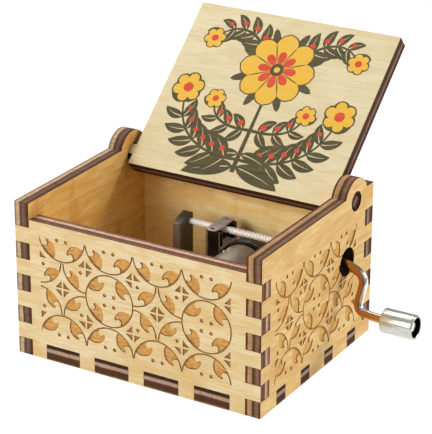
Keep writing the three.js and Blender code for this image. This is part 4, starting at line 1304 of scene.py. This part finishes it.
def screws():
    for kind, (rise, shank, slotWidth, slotDepth, finishName) in screwKinds.items():
        tree = screwTree(metals[finishName])
        for node in sorted(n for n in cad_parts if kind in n):
            low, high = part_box(node)
            middle = (low + high) / 2
            underneath = kind == "bed_screw"
            seat = low.z + rise * mm if underneath else high.z - rise * mm
            screw = addPiece(node + "_metal", bpy.data.meshes.new(node + "_metal"))
            made = grown(screw, tree, {
                "Head Radius": (high.y - low.y) / 2, "Head Height": rise * mm, "Shank Radius": shank * mm,
                "Shank Length": (high.z - low.z) - rise * mm, "Slot Width": slotWidth * mm,
                "Slot Depth": slotDepth * mm})
            if underneath:
                made.transform(Matrix.Rotation(math.pi, 4, "X"))
            made.transform(Matrix.Rotation(middle.x * turnPerMetre, 4, "Z"))
            made.transform(Matrix.Translation((middle.x, middle.y, seat)))
            finish(screw, "crank" if kind == "hub_set_screw" else "box", "screw_steel", node)
    print("screws driven")


platesAndBrackets()
wormShaft()
musicDrum()
turnedMetal()
crank()
screws()

# The studio: a pale floor and soft light from all round
studio = {
    "floorSize": 6000,
    "floorShade": "#6c6c6c",
    "floorGlow": "#ffffff",
    "floorFinish": {"Roughness": 0.9, "Specular IOR Level": 0, "Emission Strength": 0.97},
    "aim": (0, 0, 20),
    "skyStrength": 0.42,
    "skyRamp": [(0, "#b8b8b8"), (0.3, "#bcbcbc"), (0.7, "#f2f2f2"), (1, "#ffffff")],
}
softboxes = {  # size of the box, its place and its power in watts
    "frontSoftbox": (460, (-348, -782, 455), 5.7),
    "sideSoftbox": (330, (680, 500, 480), 4.5),
    "topSoftbox": (520, (-420, 300, 740), 4.8),
}


def addStudio():
    world = bpy.data.worlds.new("studio")
    scene.world = world
    world.use_nodes = True
    tree = world.node_tree
    sky = tree.nodes["Background"]
    direction = addNode(tree, "ShaderNodeTexCoord", out="Generated")
    height = addNode(tree, "ShaderNodeSeparateXYZ", {0: direction}, out="Z")
    glow = addNode(tree, "ShaderNodeValToRGB", {0: height}, studio["skyRamp"])
    tree.links.new(glow, sky.inputs["Color"])
    sky.inputs["Strength"].default_value = studio["skyStrength"]
    # Matt white paper, lit evenly from within so that no edge of it shows
    paper = startMaterial("paleFloor", {
        **studio["floorFinish"],
        "Base Color": linear(studio["floorShade"]),
        "Emission Color": linear(studio["floorGlow"])})[0]
    half = studio["floorSize"] * mm / 2
    mesh = bpy.data.meshes.new("floor")
    corners = [(-half, -half, 0), (half, -half, 0), (half, half, 0), (-half, half, 0)]
    mesh.from_pydata(corners, [], [(0, 1, 2, 3)])
    mesh.materials.append(paper)
    floor = addPiece("floor", mesh)
    for name, (size, place, power) in softboxes.items():
        lamp = bpy.data.lights.new(name, "AREA")
        lamp.size = size * mm
        lamp.energy = power
        softbox = addPiece(name, lamp)
        aim = (Vector(studio["aim"]) - Vector(place)) * mm
        turned = aim.to_track_quat("-Z", "Y").to_matrix().to_4x4()
        softbox.matrix_world = Matrix.Translation(Vector(place) * mm) @ turned
    scene.view_settings.view_transform = "Standard"
    scene.view_settings.look = "None"


addStudio()
print("studio lit")
